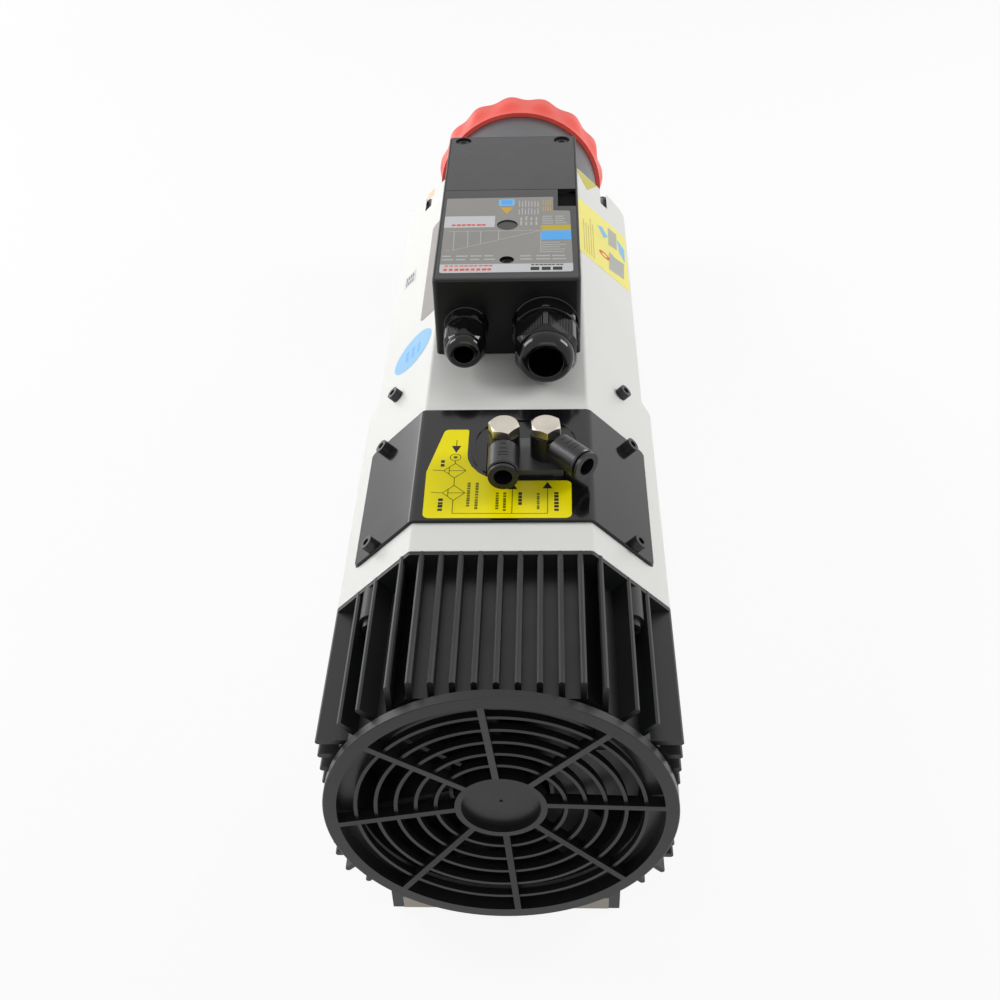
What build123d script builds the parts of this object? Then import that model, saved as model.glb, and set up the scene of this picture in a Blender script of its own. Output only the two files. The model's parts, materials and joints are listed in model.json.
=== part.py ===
"""Air-cooled motor spindle with automatic tool change.

Frame: +Y runs along the spindle axis from the fan to the nose, +Z is up, +X is right seen from
the fan end. The origin is the centre of the mounting bolt pattern on the mounting face. Words
such as station mean a distance along Y. All lengths are in millimetres.
"""

from build123d import *
from math import cos, radians, sin, sqrt
import os

# ---------------------------------------------------------------- driving sizes: body and foot
body_half_width = 90.0  # fin tips and cover, across the flats
foot_standoff = 7.0
axis_height = body_half_width + foot_standoff  # mounting face to spindle axis
joint_station = -170.0  # joint plane of the rear and motor housings
rear_housing_length = 90.6
motor_housing_length = 420.0
flat_half = 47.85  # half width of each flat between the 45-degree faces
corner_reach = body_half_width + flat_half  # |x| + |z| on the envelope's 45-degree faces
bend_radius = 3.2  # outside the bends of the folded sheets
fin_height = 11.5
corner_fin_height = 11.56
lower_fin_extra = 6.47  # the lower corner fins stand this far out of the envelope
core_half_width = body_half_width - fin_height
core_corner_reach = corner_reach - sqrt(2) * corner_fin_height
lower_corner_reach = corner_reach + sqrt(2) * lower_fin_extra
fin_pitch = 10.28
fin_thickness = 3.0
fin_tip_chamfer = 0.9
fin_root = 8.0  # depth that a fin's outline runs into the core
top_fin_count = 11
side_fin_count = 10
corner_fin_pitch = 14.3
upper_corner_fin_shift = 2.3
lower_corner_fin_shift = 3.0
flange_thickness = 2.5
flange_inset = 0.4
foot_half_width = 63.0
foot_rail_width = 6.0
foot_depth = 26.0
base_plate_thickness = 10.0
rail_relief = 0.5
mount_hole_radius = 4.25
mount_spacing_x = 96.0
mount_spacing_y = 320.0
foot_relief_depth = 12.0
foot_relief_clearance = 1.25

# ---------------------------------------------------------------- joint bolts in their bosses
boss_radius = 6.2
boss_length = 24.0
boss_inset = 6.4  # boss axis inside the 45-degree face, midway between two fins
joint_bolt_radius = 2.5
joint_bolt_thread = 14.0
cap_head_radius = 4.25
cap_head_height = 5.0
hex_key_share = 0.94  # key size over head radius
hex_key_depth_share = 0.5  # key depth over head height
screw_clearance = 0.25

# ---------------------------------------------------------------- fan unit
fan_bore_wall = 15.3  # fin tips to fan bore
fan_bore_radius = body_half_width - fan_bore_wall
fan_bore_depth = 35.0
fan_ring_radius = body_half_width
fan_ring_width = 7.0
fan_ring_inner_radius = fan_ring_radius - fan_ring_width
fan_ring_thickness = 6.0
fan_ring_chamfer = 0.5
fan_ring_standoff = 9.9  # ring face to the housing's rear end
fan_ring_lip = 5.0
fan_neck_radius = fan_ring_radius - fan_ring_lip
fan_tube_fit = 0.2
fan_tube_radius = fan_bore_radius - fan_tube_fit
fan_tube_wall = 2.0
fan_pan_thickness = 1.6  # plate between the ring's neck and the tube
fan_tube_depth = 28.0
grille_dish = 5.5  # the spokes fall back this far from the ring's face to the hub
grille_depth = 4.0
grille_setback = 1.5  # guard rings behind the spokes' front
grille_ring_count = 5
grille_ring_pitch = 10.1
grille_ring_first = 33.2
grille_ring_width = 1.9
spoke_count = 8
spoke_width = 3.4
spoke_depth = 6.5
spoke_turn = 5.0
hub_radius = 23.7
hub_thickness = 6.5
hub_recess_radius = 20.4
hub_recess_depth = 4.0
hub_nub_radius = 0.9
hub_nub_height = 0.6
fan_motor_base_radius = 22.0
fan_motor_base_thickness = 3.0
fan_motor_radius = 17.0
fan_motor_length = 20.0
fan_pin_radius = 2.5
fan_pin_clearance = 0.05
fan_pin_length = 18.0
fan_pin_end_gap = 0.5
impeller_hub_radius = 27.0
impeller_hub_wall = 2.0
impeller_gap = 1.0
impeller_tip_clearance = 1.2
impeller_end_gap = 1.0
blade_count = 7
blade_root_chord = 24.0
blade_tip_chord = 30.0
blade_thickness = 1.8
blade_root_angle = 48.0
blade_tip_angle = 24.0
blade_embed = 1.0

# ---------------------------------------------------------------- release cylinder
cylinder_pocket_radius = 58.0
cylinder_pocket_depth = 49.6
cylinder_fit = 0.2
cylinder_bore_radius = 48.05
cylinder_cap_thickness = 4.6
cylinder_front_wall = 12.0
cylinder_front_gap = 4.0
piston_clearance = 0.05
piston_thickness = 12.0
piston_rear_gap = 0.5
piston_rod_radius = 14.0
piston_rod_overhang = 1.0  # rod past the cylinder's front wall
drawbar_gap = 1.0  # piston rod to drawbar while the tool is held
seal_width = 2.8
seal_depth = 2.8
seal_fit = 0.2

# ---------------------------------------------------------------- rear bearing group
motor_wall = 6.5
motor_bore_radius = core_half_width - motor_wall
register_fit = 0.2
rear_bearing_station = 60.0  # ahead of the joint plane
rear_bearing_width = 16.0
rear_seat_radius = 22.5
rear_inner_ring_wall = 4.5
rear_outer_radius = 37.5
rear_outer_ring_wall = 5.5
bearing_gap = 0.5
ball_row_relief = 3.0
carrier_start = 52.0
carrier_end = 84.0
carrier_web = 6.0
carrier_wall = 9.0
spring_seat_gap = 3.5
wave_spring_thickness = 3.2
wave_spring_gap = 0.15
wave_spring_side_gap = 0.5
lock_nut_length = 9.0
rear_lock_nut_radius = 30.0
rear_journal_radius = 20.0
shaft_tail_station = 14.0
speed_wheel_station = 30.0
speed_wheel_radius = 36.0
speed_wheel_width = 8.0
speed_wheel_teeth = 12
speed_tooth_depth = 3.0
sensor_radius = 4.0
sensor_gap = 0.6

# ---------------------------------------------------------------- motor
stator_start = 120.0
stator_length = 210.0
stator_bore_radius = 42.2
air_gap = 0.7
winding_length = 22.0
winding_depth = 15.0
winding_wall_gap = 6.0  # end windings to the motor housing
winding_outer_radius = motor_bore_radius - winding_wall_gap
winding_inner_radius = winding_outer_radius - winding_depth
shaft_radius = 25.5
rotor_ring_length = 6.0
rotor_ring_inner_radius = 28.0
rotor_ring_outer_radius = 40.0

# ---------------------------------------------------------------- nose and front bearings
nose_flange_thickness = 16.0
nose_flange_fit = 1.5  # inside the cover
nose_length = 160.0
nose_spigot_length = 20.0
nose_cavity_radius = 52.0
front_bearing_width = 18.0
front_bearing_rows = 2
front_seat_radius = 27.5
front_inner_ring_wall = 4.5
front_outer_radius = 45.0
nose_wall = 23.0
nose_radius = front_outer_radius + nose_wall
front_outer_ring_wall = 6.0
front_shoulder_radius = 40.0
front_shoulder_length = 12.0
front_bearing_setback = 18.0  # bearing face to the nose face
front_lock_nut_radius = 36.0
front_cover_step = 8.0
front_cover_radius = nose_radius - front_cover_step
front_cover_thickness = 7.0
labyrinth_gap = 0.4
collar_radius = 33.0
collar_setback = 10.0
shaft_nose_radius = 30.0
shaft_nose_overhang = 11.0
nose_screw_count = 6
nose_screw_circle = (front_cover_radius + front_outer_radius) / 2
nose_screw_radius = 2.5
nose_screw_head_height = 3.0
corner_screw_inset = 22.0
corner_screw_x = body_half_width - corner_screw_inset
corner_screw_rise = 13.15
corner_screw_z = flat_half + corner_screw_rise

# ---------------------------------------------------------------- tool interface and drawbar
gauge_radius = 15.875
taper_ratio = 7.0 / 24.0  # on diameter
taper_depth = 48.0
gripper_room = 40.0
gripper_room_radius = 13.0
guide_length = 20.0
guide_radius = 8.05
spring_room_radius = 15.05
drive_key_width = 15.9
drive_key_inner = 18.5
drive_key_outer = 29.0
drive_key_height = 7.0
drive_slot_depth = 6.0
drawbar_radius = 6.5
drawbar_running_fit = 0.05
drawbar_head_radius = 10.0
drawbar_head_length = 12.0
drawbar_collar_radius = 14.7
drawbar_collar_length = 10.0
spring_stack_length = 200.0
spring_inner_radius = 6.9
spring_outer_radius = 14.6
spring_pitch = 33.0
spring_cone = 4.0
bush_setback = 10.0
bush_length = 16.0
gripper_radius = 12.6
gripper_length = 26.0
gripper_bore_radius = 5.0
gripper_slot_width = 1.6
gripper_slot_depth = 18.0
gripper_gap = 2.0  # gripper to the rear of its room
drawbar_tip_length = 12.0

# ---------------------------------------------------------------- sheet cover and inlet plate
sheet_thickness = 1.2
cover_overhang = 4.0  # past the nose flange
cover_length = motor_housing_length + nose_flange_thickness + cover_overhang
cover_drop = flat_half  # side walls end this far below the axis
cover_narrow_start = 173.0
cover_narrow_end = 181.0
cover_narrowing = 5.5
cover_front_half_width = body_half_width - cover_narrowing
cover_corner_round = 13.0
cover_slot_inset = 16.5
cover_slot_x = cover_front_half_width - cover_slot_inset
cover_slot_width = 5.0
cover_slot_length = 24.0
cover_fin_gap = 0.5
shoulder_screw_inset = 20.0
shoulder_screw_x = body_half_width - shoulder_screw_inset
cover_screw_station = 168.5
window_margin = 2.0
wire_hole_radius = 16.0
post_recess = 1.0  # screw posts end this far above the core's 45-degree face

plate_start = 22.0
plate_length = 99.0
plate_side_inset = 8.0
plate_half_width = body_half_width - plate_side_inset
plate_thickness = 2.0
plate_corner_round = 3.0
emboss_x = 12.0
emboss_station = 84.0
emboss_length = 60.0
emboss_width = 54.0
emboss_round = 22.0
emboss_rim = 1.4
emboss_height = 0.8
plate_screw_inset_rear = 4.5
plate_screw_inset_front = 9.0

# ---------------------------------------------------------------- air inlet block and elbows
block_x = 12.0
block_length = 42.0
block_start = 59.0
block_width = 29.0
block_rise = 6.0  # above the cover
block_top = body_half_width + block_rise
block_round = 1.5
plate_gap = 0.8
elbow_spacing = 23.0
elbow_station = 74.2
banjo_radius = 8.75
banjo_height = 15.0
elbow_arm_lift = 1.5  # arm axis above the banjo's middle
banjo_base_gap = 0.3
banjo_bolt_radius = 5.0
banjo_running_fit = 0.08
banjo_thread_length = 10.0
banjo_hex_size = 15.5
banjo_hex_height = 5.2
banjo_hex_chamfer = 0.6
banjo_air_way_end = 1.0  # wall over the air way
sleeve_radius = 8.75
sleeve_start = 11.0
sleeve_end = 29.5
sleeve_chamfer = 0.7
elbow_neck_radius = 5.7
collar_stem_radius = 6.6
collar_stem_gap = 0.3
collar_stem_length = 10.5
release_travel = 1.2
release_gap = 1.5
release_flange_radius = 8.2
release_flange_thickness = 1.8
hose_bore_radius = 5.05
elbow_passage_radius = 3.0
right_elbow_turn = 42.6

# ---------------------------------------------------------------- terminal box
box_start = 183.0
box_length = 200.5
box_half_width = 45.0
box_height = 52.9
box_wall = 4.0
box_floor = 3.0
box_corner_round = 3.0
box_rim_round = 1.2
lid_inset = 2.4
lid_side_inset = 1.35
lid_thickness = 4.0
lid_near_length = 117.0
lid_seam = box_start + lid_near_length
lid_seam_gap = 0.5
lid_edge_gap = 0.15
lid_tongue = 6.0
lid_tongue_thickness = 1.6
lid_tongue_fit = 0.1
lid_notch_x = 31.6
lid_notch_length = 24.0
lid_notch_depth = 3.2
lid_screw_x = 35.0
lid_screw_far_inset = 7.3
lid_screw_near_inset = 23.7
lid_screw_sink_radius = 5.6
lid_screw_sink = 2.6
lid_screw_head_radius = 4.2
lid_screw_head_height = 1.2
lid_screw_radius = 2.0
lid_screw_length = 14.0
lid_screw_end_gap = 2.0
lid_boss_radius = 5.5
knockout_inset = 68.0
knockout_radius = 8.7
knockout_depth = 0.5
wire_hole_inset = 100.0  # from the box's near face
wire_hole_station = box_start + wire_hole_inset
strip_gap = 4.0  # wire hole to terminal strip
strip_length = 60.0
strip_width = 22.0
strip_height = 18.0
strip_ways = 6
strip_way_width = 6.0
strip_way_length = 14.6
strip_way_depth = 14.4

# ---------------------------------------------------------------- cable glands
gland_height = 21.2  # above the box's foot
small_gland_x = -25.5
large_gland_x = 23.5
gland_wall_fit = 0.1
gland_nut_gap = 0.6
gland_thread_reach = 4.0  # past the wall
gland_neck_step = 1.0  # neck inside the nut, smaller than the thread
gland_seal_wall = 2.2
gland_seal_end_gap = 1.0
gland_seal_slack = 0.4  # seal's hole over the nut's, on radius
gland_corner_cut = 1.1
gland_dome_share = 0.75  # rounding of the dome over its length
SMALL_GLAND = {
    "x": small_gland_x,
    "thread": 10.0,
    "flange": 13.8,
    "flange_thickness": 1.6,
    "hex": 24.0,
    "hex_length": 7.5,
    "nut_length": 12.0,
    "dome_radius": 11.6,
    "dome_length": 11.4,
    "hole": 6.0,
}
LARGE_GLAND = {
    "x": large_gland_x,
    "thread": 16.0,
    "flange": 20.85,
    "flange_thickness": 2.0,
    "hex": 36.0,
    "hex_length": 9.0,
    "nut_length": 16.0,
    "dome_radius": 17.4,
    "dome_length": 15.5,
    "hole": 10.2,
}
GLANDS = (SMALL_GLAND, LARGE_GLAND)

# ---------------------------------------------------------------- nose cap
nose_cap_overlap = 9.0
nose_cap_front_gap = 1.5
nose_cap_fit = 0.3
nose_cap_side = 3.7
nose_cap_radius = nose_radius + nose_cap_side
nose_cap_wall = 3.0
nose_cap_lobes = 15
nose_cap_lobe_radius = 12.0
nose_cap_lobe_height = 3.4
nose_cap_valley_radius = 9.0
nose_cap_lobe_start = 4.0
nose_cap_lobe_full = 18.0
nose_cap_lobe_turn = 6.9
nose_cap_edge = 1.5
nose_cap_edge_slope = 3.0  # the front edge's slant runs in this many times its length

# ---------------------------------------------------------------- derived stations and radii
rear_end = joint_station - rear_housing_length
motor_front = joint_station + motor_housing_length
nose_root = motor_front + nose_flange_thickness
nose_face = nose_root + nose_length
spindle_face = nose_face + shaft_nose_overhang
fan_face = rear_end - fan_ring_standoff
cover_top = axis_height + body_half_width
root_two = sqrt(2)
join = 1.0  # the parts of one solid run this far into each other


# ---------------------------------------------------------------- helpers
def across(station):
    """Plane across the spindle axis: its x is right, its y is up, its origin is on the axis."""
    return Plane(origin=(0, station, axis_height), x_dir=(1, 0, 0), z_dir=(0, -1, 0))


def along(sketch, start, end):
    """Extrude a sketch drawn across the axis from one station to another."""
    return extrude(across(start) * sketch, amount=start - end)


def turned(*profile):
    """Revolve a closed outline of (station, radius) points about the spindle axis."""
    outline = Polyline(*[(radius, station) for station, radius in profile], close=True)
    return Pos(0, 0, axis_height) * revolve(make_face(outline), Axis.Y)


def rod(start, end, radius):
    """Round bar on the spindle axis."""
    return along(Circle(radius), start, end)


def tube(start, end, outer, inner):
    """Round tube on the spindle axis."""
    return along(Circle(outer) - Circle(inner), start, end)


def octagon(half_width, reach):
    """Octagon across the axis: flats at half_width and 45-degree faces where |x| + |z| = reach."""
    square = Rectangle(2 * half_width, 2 * half_width)
    diamond = Rot(0, 0, 45) * Rectangle(root_two * reach, root_two * reach)
    return square & diamond


def bent_outline(inset):
    """The envelope's octagon moved in by inset, with its corners rounded as the sheets bend."""
    outline = octagon(body_half_width - inset, corner_reach - root_two * inset)
    return fillet(outline.vertices(), bend_radius - inset)


def both_sides(shape):
    """A shape with its mirror image across the plane of symmetry."""
    return [shape, mirror(shape, about=Plane.YZ)]


def shoulder(x, station, height=0.0):
    """Plane on the right 45-degree face of the envelope, square to it, height off the face."""
    lift = height / root_two
    origin = (x + lift, station, axis_height + corner_reach - x + lift)
    return Plane(origin=origin, x_dir=(0, 1, 0), z_dir=(1, 0, 1))


def hexagon(size):
    """Hexagon with this distance across its flats."""
    return RegularPolygon(radius=size / sqrt(3), side_count=6)


def cap_screw(shank_radius, shank_length, head_radius=cap_head_radius, head_height=cap_head_height):
    """Socket head cap screw along Z, its head standing on the XY plane."""
    head = extrude(Circle(head_radius), amount=head_height)
    shank = extrude(Circle(shank_radius), amount=-shank_length)
    key_depth = hex_key_depth_share * head_height
    socket = Pos(0, 0, head_height) * extrude(hexagon(hex_key_share * head_radius), amount=-key_depth)
    return head + shank - socket


def save(node, *solids):
    """Write one node's solids to its own file."""
    shape = solids[0] if len(solids) == 1 else Compound(children=list(solids))
    export_step(shape, f"parts/{node}.step")


# ---------------------------------------------------------------- finned housings
def fin(facing, shift, tip, surface):
    """Outline of one straight fin whose tip and root surface lie at these distances out."""
    root = surface - fin_root
    outline = Rectangle(tip - root, fin_thickness)
    outline = chamfer(outline.vertices().group_by(Axis.X)[-1], fin_tip_chamfer)
    return Rot(0, 0, facing) * Pos((tip + root) / 2, shift) * outline


def finned_section(trim):
    """Section of a housing: core, fins all round and foot. trim shortens the covered fins."""
    flat_tip = body_half_width - trim
    corner_tip = corner_reach / root_two - trim
    fins = []
    for index in range(top_fin_count):
        x = (index - (top_fin_count - 1) / 2) * fin_pitch
        tip = min(flat_tip, root_two * corner_tip - abs(x))
        surface = min(core_half_width, core_corner_reach - abs(x))
        fins.append(fin(90, -x, tip, surface))
    for index in range(side_fin_count):
        z = (index - (side_fin_count - 1) / 2) * fin_pitch
        tip = min(flat_tip, root_two * corner_tip - abs(z))
        fins += both_sides(fin(0, z, tip, core_half_width))
    for index in range(2):
        corner_core = core_corner_reach / root_two
        upper = upper_corner_fin_shift - index * corner_fin_pitch
        fins += both_sides(fin(45, upper, corner_tip, corner_core))
        lower = lower_corner_fin_shift + index * corner_fin_pitch
        fins += both_sides(fin(-45, lower, lower_corner_reach / root_two, corner_core))
    return octagon(core_half_width, core_corner_reach) + fins + foot_section()


def foot_section():
    """Foot block with a rail down each side and a seat for the base plate between them."""
    bottom = -axis_height + rail_relief
    block = Pos(0, bottom + foot_depth / 2) * Rectangle(2 * foot_half_width, foot_depth)
    return block - base_seat()


def base_seat():
    """Slot between the foot rails, as deep as the base plate."""
    width = 2 * (foot_half_width - foot_rail_width)
    return Pos(0, -axis_height) * Rectangle(width, 2 * base_plate_thickness)


def boss_places():
    """Axes of the four joint bolts, each midway between two corner fins, across the axis."""
    upper = upper_corner_fin_shift - corner_fin_pitch / 2
    lower = lower_corner_fin_shift + corner_fin_pitch / 2
    turns = ((45, upper), (135, -upper), (-45, lower), (-135, -lower))
    reach = corner_reach / root_two - boss_inset
    return [Rot(0, 0, facing) * Pos(reach, shift) for facing, shift in turns]


def boss_outline():
    """Round boss with a web back to the core behind it."""
    return Circle(boss_radius) + Pos(-boss_radius, 0) * Rectangle(2 * boss_radius, 2 * boss_radius)


def make_rear_housing():
    """Rear end casting: fan chamber behind a bulkhead, release cylinder pocket ahead of it."""
    body = along(finned_section(0), rear_end, joint_station)
    flange = bent_outline(flange_inset) - base_seat()
    body += along(flange, joint_station - flange_thickness, joint_station)
    bosses = [place * boss_outline() for place in boss_places()]
    body += along(Sketch() + bosses, joint_station - boss_length, joint_station)
    body -= rod(rear_end, rear_end + fan_bore_depth, fan_bore_radius)
    body -= rod(joint_station - cylinder_pocket_depth, joint_station, cylinder_pocket_radius)
    bolt_holes = [place * Circle(joint_bolt_radius + screw_clearance) for place in boss_places()]
    body -= along(Sketch() + bolt_holes, joint_station - boss_length, joint_station)
    return body


def make_joint_bolts():
    """Cap screws that clamp the rear housing to the motor housing, heads to the rear."""
    bolts = []
    for place in boss_places():
        spot = (across(joint_station - boss_length) * place).position
        seat = Plane(origin=spot, x_dir=(1, 0, 0), z_dir=(0, -1, 0))
        bolts.append(seat * cap_screw(joint_bolt_radius, boss_length + joint_bolt_thread))
    return bolts


def make_motor_housing():
    """Finned extrusion under the cover, bored for the stator and opened for the inlet block."""
    trim = sheet_thickness + cover_fin_gap
    body = along(finned_section(trim), joint_station, motor_front)
    body -= rod(joint_station, motor_front, motor_bore_radius)
    body &= extrude(cover_plan(trim, motor_housing_length), amount=2 * axis_height)
    pocket_top = Pos(block_x, 0, 0) * Box(
        block_length + 2 * window_margin,
        block_width + 2 * window_margin,
        2 * (body_half_width - core_half_width),
    )
    block_centre = joint_station + block_start + block_width / 2
    body -= Pos(0, block_centre, cover_top) * pocket_top
    wire_spot = Pos(0, joint_station + wire_hole_station, axis_height + core_half_width)
    body -= wire_spot * Cylinder(wire_hole_radius, 4 * (body_half_width - core_half_width))
    rear_stock = (boss_places(), joint_station, joint_station + joint_bolt_thread)
    front_stock = (corner_screw_places(), motor_front - joint_bolt_thread, motor_front)
    for places, start, end in (rear_stock, front_stock):
        stock = Sketch() + [place * boss_outline() for place in places]
        body += along(stock & bent_outline(trim), start, end)
        body -= along(Sketch() + [place * Circle(joint_bolt_radius) for place in places], start, end)
    for place in shoulder_screw_places():
        depth = (corner_reach - core_corner_reach) / root_two
        length = depth - trim - post_recess
        post = place * Pos(0, 0, -trim) * extrude(Circle(boss_radius), amount=-length)
        hole = place * extrude(Circle(joint_bolt_radius), amount=-depth)
        for side_post, side_hole in zip(both_sides(post), both_sides(hole)):
            body = body + side_post - side_hole
    relief = Cylinder(mount_hole_radius + foot_relief_clearance, foot_relief_depth)
    relief_z = base_plate_thickness + foot_relief_depth / 2
    for spot in mount_spots():
        if spot[1] > joint_station:
            body -= Pos(spot[0], spot[1], relief_z) * relief
    return body


def mount_spots():
    """Centres of the mounting holes in plan."""
    half_x = mount_spacing_x / 2
    half_y = mount_spacing_y / 2
    return [(x, y) for x in (-half_x, half_x) for y in (-half_y, half_y)]


def make_base_plate():
    """Bare plate between the foot rails, with the tapped mounting holes."""
    half_width = foot_half_width - foot_rail_width
    length = motor_front - rear_end
    plate = Pos(0, rear_end + length / 2, base_plate_thickness / 2) * Box(
        2 * half_width, length, base_plate_thickness
    )
    for x, y in mount_spots():
        plate -= Pos(x, y, base_plate_thickness / 2) * Cylinder(
            mount_hole_radius, base_plate_thickness
        )
    return plate


# ---------------------------------------------------------------- sheet cover and inlet plate
def cover_plan(inset, length):
    """Plan of the cover, moved in by inset: wide behind, narrower at the nose end."""
    wide = body_half_width - inset
    narrow = cover_front_half_width - inset
    points = [
        (wide, joint_station),
        (wide, joint_station + cover_narrow_start),
        (narrow, joint_station + cover_narrow_end),
        (narrow, joint_station + length),
    ]
    mirrored = [(-x, y) for x, y in reversed(points)]
    return make_face(Polyline(*points, *mirrored, close=True))


def cover_space(inset, length, plan):
    """Solid inside the cover's faces, moved in by inset."""
    prism = along(bent_outline(inset), joint_station, joint_station + length)
    return prism & extrude(plan, amount=2 * cover_top)


def shoulder_screw_places():
    """Points on the right shoulder, on the cover's face, where screws go into the housing."""
    rear = joint_station + plate_start + plate_screw_inset_rear
    front = joint_station + plate_start + plate_length - plate_screw_inset_front
    spots = (
        (shoulder_screw_x, rear),
        (shoulder_screw_x, front),
        (shoulder_screw_x, joint_station + cover_screw_station),
    )
    return [shoulder(x, station) for x, station in spots]


def make_cover():
    """Folded sheet over the motor housing, open below and at both ends."""
    front = joint_station + cover_length
    plan = cover_plan(0, cover_length)
    plan = fillet(plan.vertices().group_by(Axis.Y)[-1], cover_corner_round)
    inner_length = 2 * cover_length
    inner_plan = cover_plan(sheet_thickness, inner_length)
    sheet = cover_space(0, cover_length, plan)
    sheet -= cover_space(sheet_thickness, inner_length, inner_plan)
    below = 2 * (axis_height - cover_drop)
    sheet -= Pos(0, joint_station + cover_length / 2, 0) * Box(
        4 * body_half_width, 2 * cover_length, below
    )
    slot = Box(cover_slot_width, 2 * cover_slot_length, body_half_width)
    for side in (-1, 1):
        sheet -= Pos(side * cover_slot_x, front, axis_height + body_half_width) * slot
    for place in shoulder_screw_places():
        hole = place * Cylinder(joint_bolt_radius + screw_clearance, 4 * sheet_thickness)
        sheet -= both_sides(hole)
    window = Box(
        block_length + 2 * window_margin, block_width + 2 * window_margin, 4 * sheet_thickness
    )
    block_centre = joint_station + block_start + block_width / 2
    sheet -= Pos(block_x, block_centre, cover_top) * window
    wire_spot = Pos(0, joint_station + wire_hole_station, cover_top)
    sheet -= wire_spot * Cylinder(wire_hole_radius, 4 * sheet_thickness)
    return sheet


def make_cover_screws():
    """Two cap screws through the cover's shoulders into the housing."""
    place = shoulder_screw_places()[2]
    depth = (corner_reach - core_corner_reach) / root_two
    return both_sides(place * cap_screw(joint_bolt_radius, depth))


def make_inlet_plate():
    """Glossy plate bent over both shoulders, embossed round the air inlet block."""
    start = joint_station + plate_start
    end = start + plate_length
    sheet = along(bent_outline(-plate_thickness) - bent_outline(0), start, end)
    centre = start + plate_length / 2
    plan = RectangleRounded(2 * plate_half_width, plate_length, plate_corner_round)
    sheet &= Pos(0, centre, axis_height) * extrude(plan, amount=2 * body_half_width)
    emboss = RectangleRounded(emboss_length, emboss_width, emboss_round)
    inside = RectangleRounded(
        emboss_length - 2 * emboss_rim, emboss_width - 2 * emboss_rim, emboss_round - emboss_rim
    )
    rim_spot = Pos(emboss_x, joint_station + emboss_station, cover_top + plate_thickness)
    sheet += rim_spot * extrude(emboss - inside, amount=emboss_height)
    window = Box(block_length + 2 * plate_gap, block_width + 2 * plate_gap, 4 * plate_thickness)
    sheet -= Pos(block_x, joint_station + block_start + block_width / 2, cover_top) * window
    for place in shoulder_screw_places()[:2]:
        hole = place * Cylinder(joint_bolt_radius + screw_clearance, 4 * plate_thickness)
        sheet -= both_sides(hole)
    return sheet


def make_plate_screws():
    """Cap screws of the inlet plate."""
    depth = (corner_reach - core_corner_reach) / root_two + plate_thickness
    screws = []
    for place in shoulder_screw_places()[:2]:
        seat = place * Pos(0, 0, plate_thickness)
        screws += both_sides(seat * cap_screw(joint_bolt_radius, depth))
    return screws


# ---------------------------------------------------------------- air inlet block and elbows
def elbow_spots():
    """Swivel axes of the two elbows: the left one and the right one, at the block's top."""
    middle = block_x
    y = joint_station + elbow_station
    top = axis_height + block_top
    return [Pos(middle + side * elbow_spacing / 2, y, top) for side in (-1, 1)]


def make_inlet_block():
    """Block that brings both air lines through the cover into the housing."""
    bottom = axis_height + core_half_width
    height = axis_height + block_top - bottom
    centre = joint_station + block_start + block_width / 2
    plan = RectangleRounded(block_length, block_width, block_round)
    block = Pos(block_x, centre, bottom) * extrude(plan, amount=height)
    for spot in elbow_spots():
        block -= spot * Cylinder(banjo_bolt_radius, 2 * banjo_thread_length)
    return block


def make_banjo_bolts():
    """Hollow hex bolts that the elbows swivel on."""
    bolts = []
    seat = banjo_base_gap + banjo_height + banjo_base_gap
    for spot in elbow_spots():
        hexed = Pos(0, 0, seat) * extrude(hexagon(banjo_hex_size), amount=banjo_hex_height)
        hexed = chamfer(hexed.edges().group_by(Axis.Z)[-1], banjo_hex_chamfer)
        length = seat + banjo_thread_length
        shank = Pos(0, 0, seat - length / 2) * Cylinder(banjo_bolt_radius, length)
        air_way = Pos(0, 0, -banjo_thread_length) * extrude(
            Circle(elbow_passage_radius), amount=length - banjo_air_way_end
        )
        bolts.append(spot * (hexed + shank - air_way))
    return bolts


def elbow():
    """Swivel elbow on its own axis: banjo ring, neck and push-in sleeve pointing to -Y."""
    arm_height = banjo_base_gap + banjo_height / 2 + elbow_arm_lift
    ring = Pos(0, 0, banjo_base_gap) * extrude(Circle(banjo_radius), amount=banjo_height)
    sleeve_plane = Plane(origin=(0, 0, arm_height), x_dir=(1, 0, 0), z_dir=(0, -1, 0))
    neck = sleeve_plane * extrude(Circle(elbow_neck_radius), amount=sleeve_start)
    sleeve = sleeve_plane * Pos(0, 0, sleeve_start) * extrude(
        Circle(sleeve_radius), amount=sleeve_end - sleeve_start
    )
    sleeve = chamfer(sleeve.edges().group_by(Axis.Y)[0], sleeve_chamfer)
    body = ring + neck + sleeve
    body -= Pos(0, 0, banjo_base_gap) * extrude(
        Circle(banjo_bolt_radius + banjo_running_fit), amount=banjo_height
    )
    body -= sleeve_plane * extrude(Circle(elbow_passage_radius), amount=sleeve_end)
    seat_depth = collar_stem_length + release_travel
    bore = collar_stem_radius + collar_stem_gap
    body -= sleeve_plane * Pos(0, 0, sleeve_end - seat_depth) * extrude(
        Circle(bore), amount=seat_depth
    )
    return body


def release_collar():
    """Collar of the push-in sleeve: pressed in by release_travel it lets the hose go."""
    arm_height = banjo_base_gap + banjo_height / 2 + elbow_arm_lift
    sleeve_plane = Plane(origin=(0, 0, arm_height), x_dir=(1, 0, 0), z_dir=(0, -1, 0))
    flange_start = sleeve_end + release_gap
    flange = sleeve_plane * Pos(0, 0, flange_start) * extrude(
        Circle(release_flange_radius), amount=release_flange_thickness
    )
    stem = sleeve_plane * Pos(0, 0, flange_start - collar_stem_length) * extrude(
        Circle(collar_stem_radius), amount=collar_stem_length
    )
    length = collar_stem_length + release_flange_thickness
    hose_bore = sleeve_plane * Pos(0, 0, flange_start - collar_stem_length) * extrude(
        Circle(hose_bore_radius), amount=length
    )
    return flange + stem - hose_bore


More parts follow.
